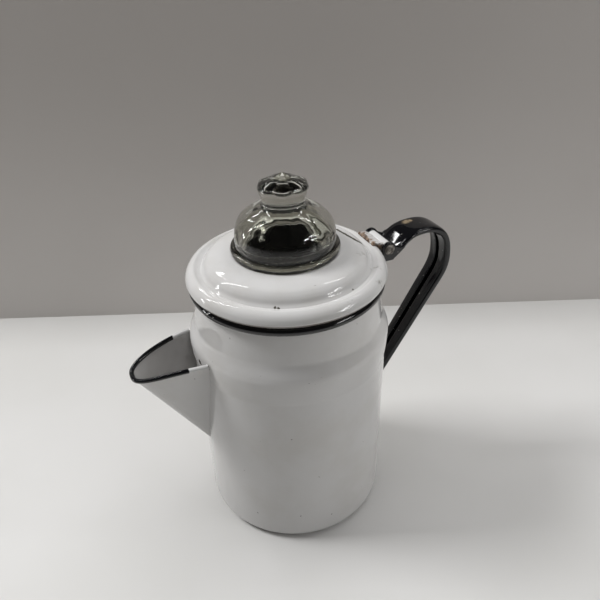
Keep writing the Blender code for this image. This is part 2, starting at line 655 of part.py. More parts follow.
def make_glass_knob(frame, material):
    """Pressed glass: a flange on the lid, a fluted hollow bulb, a solid finial and a neck with lugs."""
    height = KNOB_HEIGHT
    flange_top = KNOB_BASE + KNOB_FLANGE_THICKNESS
    round_off = KNOB_FLANGE_THICKNESS / 2
    outline = [(KNOB_NECK_RADIUS, KNOB_BASE)]
    outline += arc(KNOB_FLANGE_RADIUS - round_off, KNOB_BASE + round_off, round_off, -90, 90, 6)
    outline.append((KNOB_BULB_RADIUS, flange_top))
    outline += [(KNOB_BULB_RADIUS * r, KNOB_BASE + height * z) for r, z in KNOB_BULB_SHARES]
    outline.append((0, KNOB_BASE + height))
    bore = KNOB_NECK_RADIUS - KNOB_WALL
    neck_base = LID_SEAT_HEIGHT - KNOB_NECK_DEPTH
    room = KNOB_BULB_RADIUS - KNOB_WALL
    roof = KNOB_HOLLOW_SHARE * height
    hollow = [(room * r, KNOB_BASE + roof * z) for r, z in KNOB_HOLLOW_SHARES]
    inner = [(0, KNOB_BASE + roof), *reversed(hollow), (bore, KNOB_BASE), (bore, neck_base)]
    bm = spin_profile([*outline, *inner, (KNOB_NECK_RADIUS, neck_base)], KNOB_STEPS)
    for vert in bm.verts:
        rise = (vert.co.z - flange_top) / (height / 2)
        if 0 < rise < 1 and vert.co.xy.length > bore:
            turn = math.atan2(vert.co.y, vert.co.x) * KNOB_FLUTES
            depth = KNOB_FLUTE_DEPTH * math.sin(math.pi * rise) * (1 - math.cos(turn)) / 2
            vert.co.xy *= 1 - depth / vert.co.xy.length
    knob = add_object("glass_knob", bm, material)
    lug_top = LID_SEAT_HEIGHT - LID_WALL - SEAT_GAP
    radius = KNOB_NECK_RADIUS + KNOB_LUG_REACH
    lugs = wedges(lug_top - KNOB_LUG_THICKNESS, lug_top, radius, 0.0, 0.0)
    combine(knob, add_object("knob_lugs", lugs), "UNION")
    knob.parent = frame
    knob.matrix_parent_inverse = frame.matrix_world.inverted()
    return knob


def make_pump_stem(material):
    """The tube that coffee rises in, with a swaged ring that the basket stands on."""
    bore = STEM_RADIUS - STEM_WALL
    base = FOOT_BASE + FOOT_HEIGHT - FOOT_SOCKET_DEPTH
    ring = arc(STEM_RADIUS, STEM_STOP_HEIGHT, STEM_STOP_PROUD, -90, 90, 4)
    profile = [(bore, base), (STEM_RADIUS, base), *ring, (STEM_RADIUS, STEM_TOP_HEIGHT), (bore, STEM_TOP_HEIGHT)]
    return turned("pump_stem", profile, SMALL_STEPS, material)


def make_pump_foot(material):
    """A flared foot that traps the steam, notched round its lip so that water can get in."""
    socket = STEM_RADIUS + SEAT_GAP
    top = FOOT_BASE + FOOT_HEIGHT
    flare = [(FOOT_RADIUS * r, FOOT_BASE + FOOT_HEIGHT * z) for r, z in FOOT_FLARE_SHARES]
    outer = [(socket + FOOT_WALL, top), *flare, (FOOT_RADIUS, FOOT_BASE + FOOT_LIP / 2), (FOOT_RADIUS, FOOT_BASE)]
    inner = offset(outer, FOOT_WALL)
    stem_base = top - FOOT_SOCKET_DEPTH - SEAT_GAP
    inner = [(r, z) for r, z in inner if z < stem_base - FOOT_WALL]
    bore = STEM_RADIUS - STEM_WALL
    socket_wall = [(bore, inner[0][1]), (bore, stem_base), (socket, stem_base), (socket, top)]
    inner[-1] = (FOOT_RADIUS - FOOT_WALL, FOOT_BASE)
    foot = turned("pump_foot", [*outer, *inner[::-1], *socket_wall], INNER_STEPS, material)
    bm = bmesh.new()
    for i in range(FOOT_NOTCHES):
        turn = Matrix.Rotation(math.tau * (i + 0.5) / FOOT_NOTCHES, 4, "Z")
        place = turn @ Matrix.Translation((0, 0, FOOT_BASE)) @ Matrix.Rotation(math.radians(90), 4, "Y")
        reach = (FOOT_RADIUS - FOOT_NOTCH_RADIUS, FOOT_RADIUS + CUT_OVERRUN)
        join_into(bm, cylinder(FOOT_NOTCH_RADIUS, *reach, HOLE_SIDES, place))
    combine(foot, add_object("foot_notches", bm), "DIFFERENCE")
    return foot


def perforations(inner_radius, outer_radius, low, high):
    """Drills in rings, with six more holes in each ring than in the one inside it."""
    bm = bmesh.new()
    ring = 1
    while ring * PERFORATION_PITCH < outer_radius:
        radius = ring * PERFORATION_PITCH
        if radius > inner_radius:
            for i in range(6 * ring):
                turn = Matrix.Rotation(math.tau * (i + 0.5) / (6 * ring), 4, "Z") @ Matrix.Translation((radius, 0, 0))
                join_into(bm, cylinder(PERFORATION_RADIUS, low, high, PERFORATION_SIDES, turn))
        ring += 1
    return bm


def make_basket(material):
    """The aluminium cup for the ground coffee, with a perforated bottom and a beaded rim."""
    bottom = BASKET_RADIUS - BASKET_TAPER
    hole = SLEEVE_RADIUS + SEAT_GAP
    outer = [(hole, BASKET_BASE)]
    outer += arc(bottom - BASKET_FILLET, BASKET_BASE + BASKET_FILLET, BASKET_FILLET, -90, 0, 3)
    bead = arc(BASKET_RADIUS, BASKET_RIM, BASKET_BEAD, -45, 180, 6)
    inside = [(BASKET_RADIUS - BASKET_BEAD, BASKET_RIM - BASKET_BEAD)]
    inside += arc(bottom - BASKET_FILLET, BASKET_BASE + BASKET_FILLET, BASKET_FILLET - BASKET_WALL, 0, -90, 3)
    inside.append((hole, BASKET_BASE + BASKET_WALL))
    basket = turned("basket", [*outer, *bead, *inside], INNER_STEPS, material)
    low, high = BASKET_BASE - CUT_OVERRUN, BASKET_BASE + CUT_OVERRUN
    drills = perforations(SLEEVE_RADIUS + SLEEVE_FLANGE, bottom - BASKET_FILLET, low, high)
    combine(basket, add_object("basket_drills", drills), "DIFFERENCE")
    return basket


def make_basket_sleeve(material):
    """The tube in the basket's middle that slides on the stem, flanged over both faces of the bottom."""
    flange = SLEEVE_RADIUS + SLEEVE_FLANGE
    floor = BASKET_BASE + BASKET_WALL + SEAT_GAP
    top = BASKET_RIM - SLEEVE_CLEAR_OF_RIM
    profile = [
        (SLEEVE_BORE, SLEEVE_BASE), (flange, SLEEVE_BASE), (flange, SLEEVE_BASE + SLEEVE_WALL),
        (SLEEVE_RADIUS, SLEEVE_BASE + SLEEVE_WALL), (SLEEVE_RADIUS, floor), (flange, floor),
        (flange, floor + SLEEVE_WALL), (SLEEVE_RADIUS, floor + SLEEVE_WALL), (SLEEVE_RADIUS, top), (SLEEVE_BORE, top),
    ]
    return turned("basket_sleeve", profile, SMALL_STEPS, material)


def make_spreader(material):
    """The perforated cover that spreads the water over the coffee, with a collar round the stem."""
    bore = STEM_RADIUS + RUNNING_GAP
    collar = bore + SPREADER_WALL
    rim = BASKET_RADIUS + BASKET_BEAD + RUNNING_GAP
    deck = SPREADER_BASE + SPREADER_WALL
    crown = deck + SPREADER_RISE
    outer = [
        (bore, crown + SPREADER_COLLAR_HEIGHT), (collar, crown + SPREADER_COLLAR_HEIGHT), (collar, crown),
        ((collar + rim) / 2, crown - SPREADER_RISE / 4), (rim - SPREADER_LIP, deck), (rim, deck),
        (rim + SPREADER_WALL, deck - SPREADER_WALL), (rim + SPREADER_WALL, deck - SPREADER_LIP),
    ]
    inner = [
        (rim, deck - SPREADER_LIP), (rim, SPREADER_BASE), (rim - SPREADER_LIP, SPREADER_BASE),
        ((collar + rim) / 2, crown - SPREADER_RISE / 4 - SPREADER_WALL), (bore, crown - SPREADER_WALL),
    ]
    spreader = turned("spreader", [*outer, *inner], INNER_STEPS, material)
    low, high = SPREADER_BASE - CUT_OVERRUN, crown + CUT_OVERRUN
    drills = perforations(collar, rim - SPREADER_LIP - PERFORATION_RADIUS, low, high)
    combine(spreader, add_object("spreader_drills", drills), "DIFFERENCE")
    return spreader


def add_frame(name, place, parent=None):
    """An empty on a joint's axis, which carries the pieces that move together."""
    frame = bpy.data.objects.new(name, None)
    bpy.context.scene.collection.objects.link(frame)
    frame.location = place
    if parent:
        frame.parent = parent
        frame.location = Vector(place) - parent.location
    bpy.context.view_layer.update()
    return frame


def build():
    clear_scene()
    white = make_material("white_enamel", (0.80, 0.80, 0.78), 0.16)
    black = make_material("black_enamel", (0.012, 0.012, 0.014), 0.14)
    steel = make_material("bare_steel", (0.30, 0.28, 0.26), 0.45, metallic=0.9)
    aluminium = make_material("aluminium", (0.62, 0.62, 0.60), 0.35, metallic=1.0)
    glass = make_material("pressed_glass", (0.78, 0.82, 0.78), 0.06, transmission=0.9)

    envelope = make_pot_envelope()
    make_pot_body(white)
    make_spout(envelope, white)
    make_handle(envelope, black)
    make_hinge_pin(steel)

    hinge = add_frame("lid_hinge_axis", (HINGE_X, 0, HINGE_Z))
    make_lid(hinge, white)
    make_lid_collar(hinge, white)
    make_hinge_leaf(hinge, white)
    twist = add_frame("knob_axis", (0, 0, KNOB_BASE), hinge)
    make_glass_knob(twist, glass)

    make_pump_stem(aluminium)
    make_pump_foot(aluminium)
    make_basket(aluminium)
    make_basket_sleeve(aluminium)
    make_spreader(aluminium)


build()
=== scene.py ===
import json
import math

import bmesh
import bpy
from mathutils import Matrix, Vector


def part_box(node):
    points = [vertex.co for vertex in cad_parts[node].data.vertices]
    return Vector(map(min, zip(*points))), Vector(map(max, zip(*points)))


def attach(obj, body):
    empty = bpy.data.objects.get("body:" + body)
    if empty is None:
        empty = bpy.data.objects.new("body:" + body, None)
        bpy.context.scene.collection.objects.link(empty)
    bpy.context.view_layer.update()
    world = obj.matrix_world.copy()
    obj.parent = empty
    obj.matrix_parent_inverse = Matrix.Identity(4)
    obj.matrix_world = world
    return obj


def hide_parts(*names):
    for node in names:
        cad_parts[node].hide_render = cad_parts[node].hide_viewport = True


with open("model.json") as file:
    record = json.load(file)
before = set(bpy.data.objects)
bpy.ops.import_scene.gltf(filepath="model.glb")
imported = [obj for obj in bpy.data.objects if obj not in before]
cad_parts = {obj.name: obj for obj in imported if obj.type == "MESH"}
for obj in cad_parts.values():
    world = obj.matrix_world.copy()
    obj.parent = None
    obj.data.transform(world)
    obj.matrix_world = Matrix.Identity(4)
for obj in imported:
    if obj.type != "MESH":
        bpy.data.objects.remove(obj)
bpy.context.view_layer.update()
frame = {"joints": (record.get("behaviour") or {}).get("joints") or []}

# Camera
# It stands where the photograph was taken from: above the pot, a little to the spout's side.
PICTURE_SIZE = 600
FOCAL_PIXELS = 600
SENSOR_WIDTH = 36
CAMERA_PLACE = Vector((-0.1164, -0.2863, 0.3518))
LOOK_AHEAD = Vector((0.3342, 0.7686, -0.5455)).normalized()
LOOK_RIGHT = LOOK_AHEAD.cross(Vector((0.2477, 0.4868, 0.8377))).normalized()
LOOK_UP = LOOK_RIGHT.cross(LOOK_AHEAD)

camera_data = bpy.data.cameras.new("camera")
camera_data.sensor_width = SENSOR_WIDTH
camera_data.lens = SENSOR_WIDTH * FOCAL_PIXELS / PICTURE_SIZE
camera_data.clip_start = 0.01
camera = bpy.data.objects.new("camera", camera_data)
bpy.context.scene.collection.objects.link(camera)
camera.matrix_world = (
    Matrix.Translation(CAMERA_PLACE) @ Matrix((LOOK_RIGHT, LOOK_UP, -LOOK_AHEAD)).transposed().to_4x4()
)
bpy.context.scene.camera = camera


def seen_at(pixel, piece):
    """The point of a piece that the photograph shows at this pixel."""
    across = (pixel[0] - PICTURE_SIZE / 2) / FOCAL_PIXELS
    above = (PICTURE_SIZE / 2 - pixel[1]) / FOCAL_PIXELS
    direction = (LOOK_AHEAD + LOOK_RIGHT * across + LOOK_UP * above).normalized()
    bpy.context.view_layer.update()
    return piece.ray_cast(CAMERA_PLACE, direction)[1]


# Pot
# One deep-drawn steel pot with a flat bottom, a straight wall, a crease and a round roll under the neck.
# White vitreous enamel, fired on inside and out, with small chips round the foot where the steel shows.
POT_WALL = 0.0014
FOOT_RADIUS = 0.0598
FOOT_FILLET = 0.007
CREASE_RADIUS = 0.0605
CREASE_HEIGHT = 0.1192
CREASE_SOFTNESS = 0.0006
CREST_HEIGHT = 0.1345
WAIST_RADIUS = 0.0574
WAIST_HEIGHT = 0.1475
RIM_RADIUS = 0.0560
RIM_BEAD = 0.0025
POT_STEPS = 192
pot_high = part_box("pot_body")[1]
crest_radius = pot_high.x
rim_top = pot_high.z
rim_height = rim_top - RIM_BEAD
rim_inner_radius = RIM_RADIUS - RIM_BEAD

ENAMEL_IOR = 1.6
WHITE = (0.565, 0.56, 0.555)
WHITE_STAIN = (0.46, 0.44, 0.405)
# Dark brown: coffee stains, and on faces marked inside also painted shade.
DARK_BROWN = (0.060, 0.040, 0.026)
DIRT = (0.20, 0.19, 0.165)
BARE_STEEL = (0.035, 0.028, 0.024)
FOOT_CHIPS = (((258, 513), 0.0006), ((300.6, 516), 0.0006), ((331.5, 514), 0.0005), ((319, 477), 0.0003))
WALL_CHIPS = (((209, 369.5), 0.0008), ((205, 388), 0.0003), ((244, 470), 0.0003))


def arc(centre_r, centre_z, radius, start_deg, end_deg, steps):
    angles = [math.radians(start_deg + (end_deg - start_deg) * i / steps) for i in range(steps + 1)]
    return [(centre_r + radius * math.cos(a), centre_z + radius * math.sin(a)) for a in angles]


def smooth_through(points, steps):
    """A smooth curve through the points, with this many steps between each two."""
    padded = [points[0], *points, points[-1]]
    curve = []
    for a, b, c, d in zip(padded, padded[1:], padded[2:], padded[3:]):
        for i in range(steps):
            t = i / steps
            curve.append(tuple(
                0.5 * (2 * q + (r - p) * t
                       + (2 * p - 5 * q + 4 * r - s) * t**2
                       + (3 * q - p - 3 * r + s) * t**3)
                for p, q, r, s in zip(a, b, c, d)
            ))
    return [*curve, tuple(points[-1])]


def finish_mesh(name, bm, sharp_deg=35):
    """Makes an object of a bmesh, closed up and facing outwards, with soft edges shaded smooth."""
    bmesh.ops.remove_doubles(bm, verts=bm.verts, dist=1e-6)
    bmesh.ops.recalc_face_normals(bm, faces=bm.faces)
    mesh = bpy.data.meshes.new(name)
    bm.to_mesh(mesh)
    bm.free()
    mesh.shade_smooth()
    mesh.set_sharp_from_angle(angle=math.radians(sharp_deg))
    piece = bpy.data.objects.new(name, mesh)
    bpy.context.scene.collection.objects.link(piece)
    return piece


def turned(name, profile, steps, sharp_deg=35):
    """Turns a closed profile of (radius, height) points round the pot's axis."""
    bm = bmesh.new()
    verts = [bm.verts.new((r, 0, z)) for r, z in profile]
    edges = [bm.edges.new(pair) for pair in zip(verts, verts[1:])]
    if profile[0][0] > 0 or profile[-1][0] > 0:
        edges.append(bm.edges.new((verts[-1], verts[0])))
    bmesh.ops.spin(
        bm, geom=verts + edges, cent=(0, 0, 0), axis=(0, 0, 1), angle=math.tau, steps=steps, use_merge=True,
    )
    return finish_mesh(name, bm, sharp_deg)


def cut(piece, cutter, operation="DIFFERENCE"):
    """Cuts a piece with a tool body, or joins the two, and removes the tool."""
    modifier = piece.modifiers.new("cut", "BOOLEAN")
    modifier.operation = operation
    modifier.object = cutter
    bake_modifiers(piece)
    bpy.data.objects.remove(cutter, do_unlink=True)


def bake_modifiers(piece, sharp_deg=35):
    """Turns what the modifiers make into the piece's own mesh."""
    bpy.context.view_layer.update()
    evaluated = piece.evaluated_get(bpy.context.evaluated_depsgraph_get())
    mesh = bpy.data.meshes.new_from_object(evaluated)
    piece.modifiers.clear()
    piece.data = mesh
    mesh.shade_smooth()
    mesh.set_sharp_from_angle(angle=math.radians(sharp_deg))


def mark_inside(piece, facing_inside):
    """Notes the faces that the enamel turns dark brown: coffee stains, and painted shade where an inside
    lies in shade.
    """
    mark = piece.data.attributes.new("inside", "FLOAT", "FACE")
    for face in piece.data.polygons:
        mark.data[face.index].value = float(facing_inside(face))


def join_bodies(bm, other):
    """Adds the faces of another bmesh as a separate body of the same mesh."""
    mesh = bpy.data.meshes.new("joined")
    other.to_mesh(mesh)
    other.free()
    bm.from_mesh(mesh)
    bpy.data.meshes.remove(mesh)


def drill(radius, low, high, sides, matrix):
    bm = bmesh.new()
    bmesh.ops.create_cone(
        bm, cap_ends=True, segments=sides, radius1=radius, radius2=radius, depth=high - low,
        matrix=matrix @ Matrix.Translation((0, 0, (low + high) / 2)),
    )
    return bm


def put_on(piece, body, slot, material, *nodes):
    """Gives a piece its finish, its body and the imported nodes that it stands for."""
    piece.data.materials.clear()
    piece.data.materials.append(material)
    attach(piece, body)
    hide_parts(*nodes)


def add_node(tree, kind, inputs, family="ShaderNode", **settings):
    """Adds a node; an input is a number, a colour or another node's output."""
    node = tree.nodes.new(family + kind)
    for key, value in settings.items():
        setattr(node, key, value)
    for key, value in inputs.items():
        if isinstance(value, bpy.types.NodeSocket):
            tree.links.new(value, node.inputs[key])
        else:
            node.inputs[key].default_value = value
    return node.outputs[0]


GEOMETRY = "GeometryNode"


def noise(tree, place, scale, detail=3.0, roughness=0.5):
    sizes = {"Vector": place, "Scale": scale, "Detail": detail, "Roughness": roughness}
    return add_node(tree, "TexNoise", sizes)


def ramp(tree, value, low, high, start=0.0, end=1.0):
    """Goes softly from start to end while the value goes from low to high."""
    limits = {0: value, 1: low, 2: high, 3: start, 4: end}
    return add_node(tree, "MapRange", limits, interpolation_type="SMOOTHSTEP")


def math_node(tree, operation, first, second=0.0, third=0.5):
    return add_node(tree, "Math", {0: first, 1: second, 2: third}, operation=operation)


def split(tree, place):
    """The X, Y and Z of a place."""
    return add_node(tree, "SeparateXYZ", {0: place}).node.outputs


def mix_colours(tree, share, first, second):
    node = tree.nodes.new("ShaderNodeMix")
    node.data_type = "RGBA"
    for socket, value in ((node.inputs[0], share), (node.inputs[6], first), (node.inputs[7], second)):
        if isinstance(value, bpy.types.NodeSocket):
            tree.links.new(value, socket)
        else:
            socket.default_value = value if isinstance(value, float) else (*value, 1.0)
    return node.outputs[2]


def new_material(name):
    material = bpy.data.materials.new(name)
    material.use_nodes = True
    tree = material.node_tree
    place = tree.nodes.new("ShaderNodeTexCoord").outputs["Object"]
    return material, tree, tree.nodes["Principled BSDF"], place


def coat(tree, shader, colour, gloss, height, strength, depth):
    """Gives a finish its colour, its roughness and its fine relief."""
    relief = add_node(tree, "Bump", {"Strength": strength, "Distance": depth, "Height": height})
    for socket, value in (("Base Color", colour), ("Roughness", gloss), ("Normal", relief)):
        tree.links.new(value, shader.inputs[socket])


SPOT_GRAIN, SPOT_RAGGEDNESS = 700.0, 0.0022


def spot_mask(tree, place, spot_places, softness=0.2):
    """One in ragged spots round the given places: chips, worn or dirty patches, and on the rim bead painted
    highlights as well as chips.
    """
    shake = tree.nodes.new("ShaderNodeTexNoise")
    tree.links.new(place, shake.inputs["Vector"])
    shake.inputs["Scale"].default_value = SPOT_GRAIN
    middle = (0.5, 0.5, 0.5)
    ragged = add_node(tree, "VectorMath", {0: shake.outputs["Color"], 1: middle}, operation="SUBTRACT")
    reach = (SPOT_RAGGEDNESS, SPOT_RAGGEDNESS, SPOT_RAGGEDNESS)
    scaled = add_node(tree, "VectorMath", {0: ragged, 1: reach}, operation="MULTIPLY")
    moved = add_node(tree, "VectorMath", {0: place, 1: scaled}, operation="ADD")
    mask = None
    for where, radius in spot_places:
        gap = tree.nodes.new("ShaderNodeVectorMath")
        gap.operation = "DISTANCE"
        tree.links.new(moved, gap.inputs[0])
        gap.inputs[1].default_value = where
        spot = ramp(tree, gap.outputs["Value"], radius * (1 - softness), radius, 1.0, 0.0)
        mask = spot if mask is None else math_node(tree, "MAXIMUM", mask, spot)
    return mask


PEEL_DEPTH = 0.0006
SPOT_ROUGHNESS, SPOT_DEPTH_SHARE = 0.6, 4.0


def enamel(name, colour, stain, roughness, spot_places=(), bare=BARE_STEEL, peel=0.10, stain_share=0.35,
           inside_dark_share=0.95, smudges=()):
    """Fired enamel: a glossy skin, wavy like orange peel, with faint stains, pinholes, spots, and dark brown
    on inner faces for coffee stains and painted shade.
    """
    material, tree, shader, place = new_material(name)
    cloud = ramp(tree, noise(tree, place, 22.0, detail=5.0, roughness=0.6), 0.42, 0.72, 0.0, stain_share)
    pinholes = ramp(tree, noise(tree, place, 520.0, detail=1.0), 0.80, 0.83, 0.0, 0.7)
    surface = mix_colours(tree, cloud, colour, stain)
    inside = tree.nodes.new("ShaderNodeAttribute")
    inside.attribute_name = "inside"
    # Faces marked inside go dark brown: coffee stain, and painted shade in the spout, in the pot and on the
    # lid's seat.
    coffee = ramp(tree, cloud, 0.0, stain_share, 0.75 * inside_dark_share, inside_dark_share)
    brown = math_node(tree, "MULTIPLY", inside.outputs["Fac"], coffee)
    surface = mix_colours(tree, brown, surface, DARK_BROWN)
    surface = mix_colours(tree, pinholes, surface, bare)
    if smudges:
        patches = ramp(tree, noise(tree, place, 330.0, detail=6.0, roughness=0.75), 0.48, 0.66, 0.0, 0.7)
        dirt = math_node(tree, "MULTIPLY", spot_mask(tree, place, smudges, 0.7), patches)
        surface = mix_colours(tree, dirt, surface, DIRT)
    waves = noise(tree, place, 95.0, detail=2.0, roughness=0.45)
    streaks = noise(tree, place, 45.0, detail=4.0, roughness=0.6)
    gloss = ramp(tree, streaks, 0.3, 0.8, roughness, roughness * 2.2)
    height = math_node(tree, "SUBTRACT", waves, pinholes)
    if spot_places:
        mask = spot_mask(tree, place, spot_places)
        surface = mix_colours(tree, mask, surface, bare)
        gloss = math_node(tree, "MAXIMUM", gloss, math_node(tree, "MULTIPLY", mask, SPOT_ROUGHNESS))
        height = math_node(tree, "SUBTRACT", height, math_node(tree, "MULTIPLY", mask, SPOT_DEPTH_SHARE))
    coat(tree, shader, surface, gloss, height, peel, PEEL_DEPTH)
    shader.inputs["IOR"].default_value = ENAMEL_IOR
    return material


def pot_outline():
    """The pot's outer side from the base's centre up into the rim bead."""
    foot = FOOT_RADIUS - FOOT_FILLET
    points = [(0, 0), *arc(foot, FOOT_FILLET, FOOT_FILLET, -90, 0, 14)]
    points.append((CREASE_RADIUS - CREASE_SOFTNESS / 20, CREASE_HEIGHT - CREASE_SOFTNESS))
    roll = CREST_HEIGHT - CREASE_HEIGHT
    for i in range(14):
        t = i / 14
        radius = crest_radius - (crest_radius - CREASE_RADIUS) * (1 - t) ** 2
        points.append((radius, CREASE_HEIGHT + roll * t))
    fall = WAIST_HEIGHT - CREST_HEIGHT
    for i in range(17):
        t = i / 16
        radius = WAIST_RADIUS + (crest_radius - WAIST_RADIUS) * (1 + math.cos(math.pi * t)) / 2
        points.append((radius, CREST_HEIGHT + fall * t))
    points.append((rim_inner_radius + POT_WALL, rim_height))
    return points


def new_tree(name, sizes):
    """Starts a tree with a mesh, named sizes and a material as its inputs."""
    tree = bpy.data.node_groups.new(name, "GeometryNodeTree")
    tree.interface.new_socket("Geometry", in_out="INPUT", socket_type="NodeSocketGeometry")
    for size_name in sizes:
        tree.interface.new_socket(size_name, in_out="INPUT", socket_type="NodeSocketFloat")
    tree.interface.new_socket("Material", in_out="INPUT", socket_type="NodeSocketMaterial")
    tree.interface.new_socket("Geometry", in_out="OUTPUT", socket_type="NodeSocketGeometry")
    return tree, tree.nodes.new("NodeGroupInput").outputs


def end_tree(tree, given, geometry):
    plain = add_node(tree, "RealizeInstances", {0: geometry}, GEOMETRY)
    painted = add_node(tree, "SetMaterial", {0: plain, "Material": given["Material"]}, GEOMETRY)
    tree.links.new(painted, tree.nodes.new("NodeGroupOutput").inputs[0])


def run_tree(piece, tree, sizes, material=None):
    """Runs a tree on a piece and keeps the result as the piece's plain mesh."""
    modifier = piece.modifiers.new(tree.name, "NODES")
    modifier.node_group = tree
    inputs = {item.name: item.identifier for item in tree.interface.items_tree if item.in_out == "INPUT"}
    for name, value in sizes.items():
        modifier[inputs[name]] = float(value)
    modifier[inputs["Material"]] = material
    bake_modifiers(piece)


def drill_at_points(tree, piece, points, depth, radius, sides, rotation=None):
    """Cuts a round hole through the piece at each point."""
    tool = add_node(tree, "MeshCylinder", {"Vertices": sides, "Radius": radius, "Depth": depth}, GEOMETRY)
    placed = {"Points": points, "Instance": tool}
    if rotation:
        placed["Rotation"] = rotation
    tools = add_node(tree, "InstanceOnPoints", placed, GEOMETRY)
    solid = add_node(tree, "RealizeInstances", {0: tools}, GEOMETRY)
    way = {"operation": "DIFFERENCE", "solver": "EXACT"}
    return add_node(tree, "MeshBoolean", {0: piece, 1: solid}, GEOMETRY, **way)


def strainer_tree():
    """Staggered columns of holes in the wall behind the spout, as many as its triangle has room for."""
    sizes = ("Radius", "Pitch", "Hole radius", "Top", "Keel", "Slope", "Edge room", "Columns", "Rows")
    tree, given = new_tree("strainer", sizes)
    column_step = math_node(tree, "MULTIPLY", given["Pitch"], math.cos(math.radians(30)))
    width = math_node(tree, "MULTIPLY", math_node(tree, "SUBTRACT", given["Columns"], 1.0), column_step)
    height = math_node(tree, "MULTIPLY", math_node(tree, "SUBTRACT", given["Rows"], 1.0), given["Pitch"])
    layout = {"Size X": width, "Size Y": height, "Vertices X": given["Columns"], "Vertices Y": given["Rows"]}
    grid = add_node(tree, "MeshGrid", layout, GEOMETRY)
    place = add_node(tree, "InputPosition", {}, GEOMETRY)
    ways = split(tree, place)
    column = math_node(tree, "ROUND", math_node(tree, "DIVIDE", ways["X"], column_step))
    odd = math_node(tree, "MODULO", math_node(tree, "ABSOLUTE", column), 2.0)
    stagger = math_node(tree, "MULTIPLY", math_node(tree, "SUBTRACT", 1.0, odd), given["Pitch"])
    drop = math_node(tree, "MULTIPLY", math_node(tree, "ADD", height, stagger), 0.5)
    level = math_node(tree, "ADD", given["Top"], math_node(tree, "SUBTRACT", ways["Y"], drop))
    room = math_node(tree, "MULTIPLY", math_node(tree, "SUBTRACT", level, given["Keel"]), given["Slope"])
    wanted = math_node(tree, "ADD", math_node(tree, "ABSOLUTE", ways["X"]), given["Edge room"])
    too_close = math_node(tree, "LESS_THAN", room, wanted)
    squares = [math_node(tree, "MULTIPLY", side, side) for side in (given["Radius"], ways["X"])]
    inwards = math_node(tree, "SQRT", math_node(tree, "SUBTRACT", *squares))
    towards_spout = math_node(tree, "MULTIPLY", inwards, -1.0)
    on_wall = add_node(tree, "CombineXYZ", {0: towards_spout, 1: ways["X"], 2: level})
    kept = add_node(tree, "DeleteGeometry", {0: grid, "Selection": too_close}, GEOMETRY)
    points = add_node(tree, "SetPosition", {0: kept, "Position": on_wall}, GEOMETRY)
    outwards = add_node(tree, "VectorMath", {0: place, 1: (1.0, 1.0, 0.0)}, operation="MULTIPLY")
    turned_out = add_node(tree, "AlignRotationToVector", {"Vector": outwards}, "FunctionNode", axis="Z")
    drilled = drill_at_points(
        tree, given["Geometry"], points, given["Radius"], given["Hole radius"], HOLE_SIDES, turned_out,
    )
    end_tree(tree, given, drilled)
    return tree


SPOUT_WALL = 0.0012
SPOUT_KEEL_HEIGHT = 0.0615
SPOUT_MOUTH_HEIGHT = 0.1345
SPOUT_HALF_WIDTH = 0.0202
HOLE_RADIUS, HOLE_PITCH, HOLE_TOP_DROP, HOLE_EDGE_ROOM = 0.00195, 0.0100, 0.0040, 0.0015
HOLE_COLUMNS, HOLE_ROWS, HOLE_SIDES = 5, 6, 24

outer = pot_outline()
wall = [p for p in outer if p[1] >= FOOT_FILLET]
inner = [(r - POT_WALL, z) for r, z in reversed(wall)]
inner += arc(FOOT_RADIUS - FOOT_FILLET, FOOT_FILLET, FOOT_FILLET - POT_WALL, 0, -90, 8)[1:]
pot = turned("pot_shell", [*outer, *inner, (0, POT_WALL)], POT_STEPS, sharp_deg=60)
pot_chips = [(seen_at(pixel, pot), radius) for pixel, radius in (*FOOT_CHIPS, *WALL_CHIPS)]
run_tree(pot, strainer_tree(), {
    "Radius": CREASE_RADIUS, "Pitch": HOLE_PITCH, "Hole radius": HOLE_RADIUS,
    "Top": SPOUT_MOUTH_HEIGHT - HOLE_TOP_DROP, "Keel": SPOUT_KEEL_HEIGHT,
    "Slope": SPOUT_HALF_WIDTH / (SPOUT_MOUTH_HEIGHT - SPOUT_KEEL_HEIGHT),
    "Edge room": HOLE_RADIUS + SPOUT_WALL + HOLE_EDGE_ROOM, "Columns": HOLE_COLUMNS, "Rows": HOLE_ROWS,
})


def looks_into_pot(face):
    """The wall's inner side, the strainer holes' edges and the floor."""
    outwards = Vector((face.center.x, face.center.y, 0)).normalized()
    if face.center.z > FOOT_FILLET:
        return face.normal.dot(outwards) < 0.3
    return face.normal.z > 0


# The pot's inner faces go nearly all the way to dark brown: coffee stain, and painted shade for the dark
# inside of the closed pot.
mark_inside(pot, looks_into_pot)
white_pot = enamel("white_enamel_pot", WHITE, WHITE_STAIN, roughness=0.05, spot_places=pot_chips)
put_on(pot, "pot", "white_enamel", white_pot, "pot_body")

# Rim bead
# The pot's edge is rolled outwards round itself into a bead, dipped in black enamel.
# The black shows the white ground coat in small spots, left and right of the front: chips, and on the left
# also painted highlights where the bead glints.
BLACK = (0.004, 0.004, 0.005)
BLACK_WORN = (0.018, 0.017, 0.016)
# Pale spots on the bead: chips to the white ground coat, and the two on the left also painted highlights.
CHIP_AND_GLINT_WHITE = (0.55, 0.54, 0.50)
BEAD_CHIPS_AND_GLINTS = (((207, 314), 0.0004), ((213, 318), 0.0003), ((341, 326), 0.0004))
ROLL_SIDES = 32


def rolled_edge_tree():
    """A round roll of sheet along a wire."""
    tree, given = new_tree("rolled_edge", ("Radius", "Sides"))
    wire = add_node(tree, "MeshToCurve", {0: given["Geometry"]}, GEOMETRY)
    section = {"Resolution": given["Sides"], "Radius": given["Radius"]}
    ring = add_node(tree, "CurvePrimitiveCircle", section, GEOMETRY)
    swept = {"Curve": wire, "Profile Curve": ring, "Fill Caps": True}
    end_tree(tree, given, add_node(tree, "CurveToMesh", swept, GEOMETRY))
    return tree


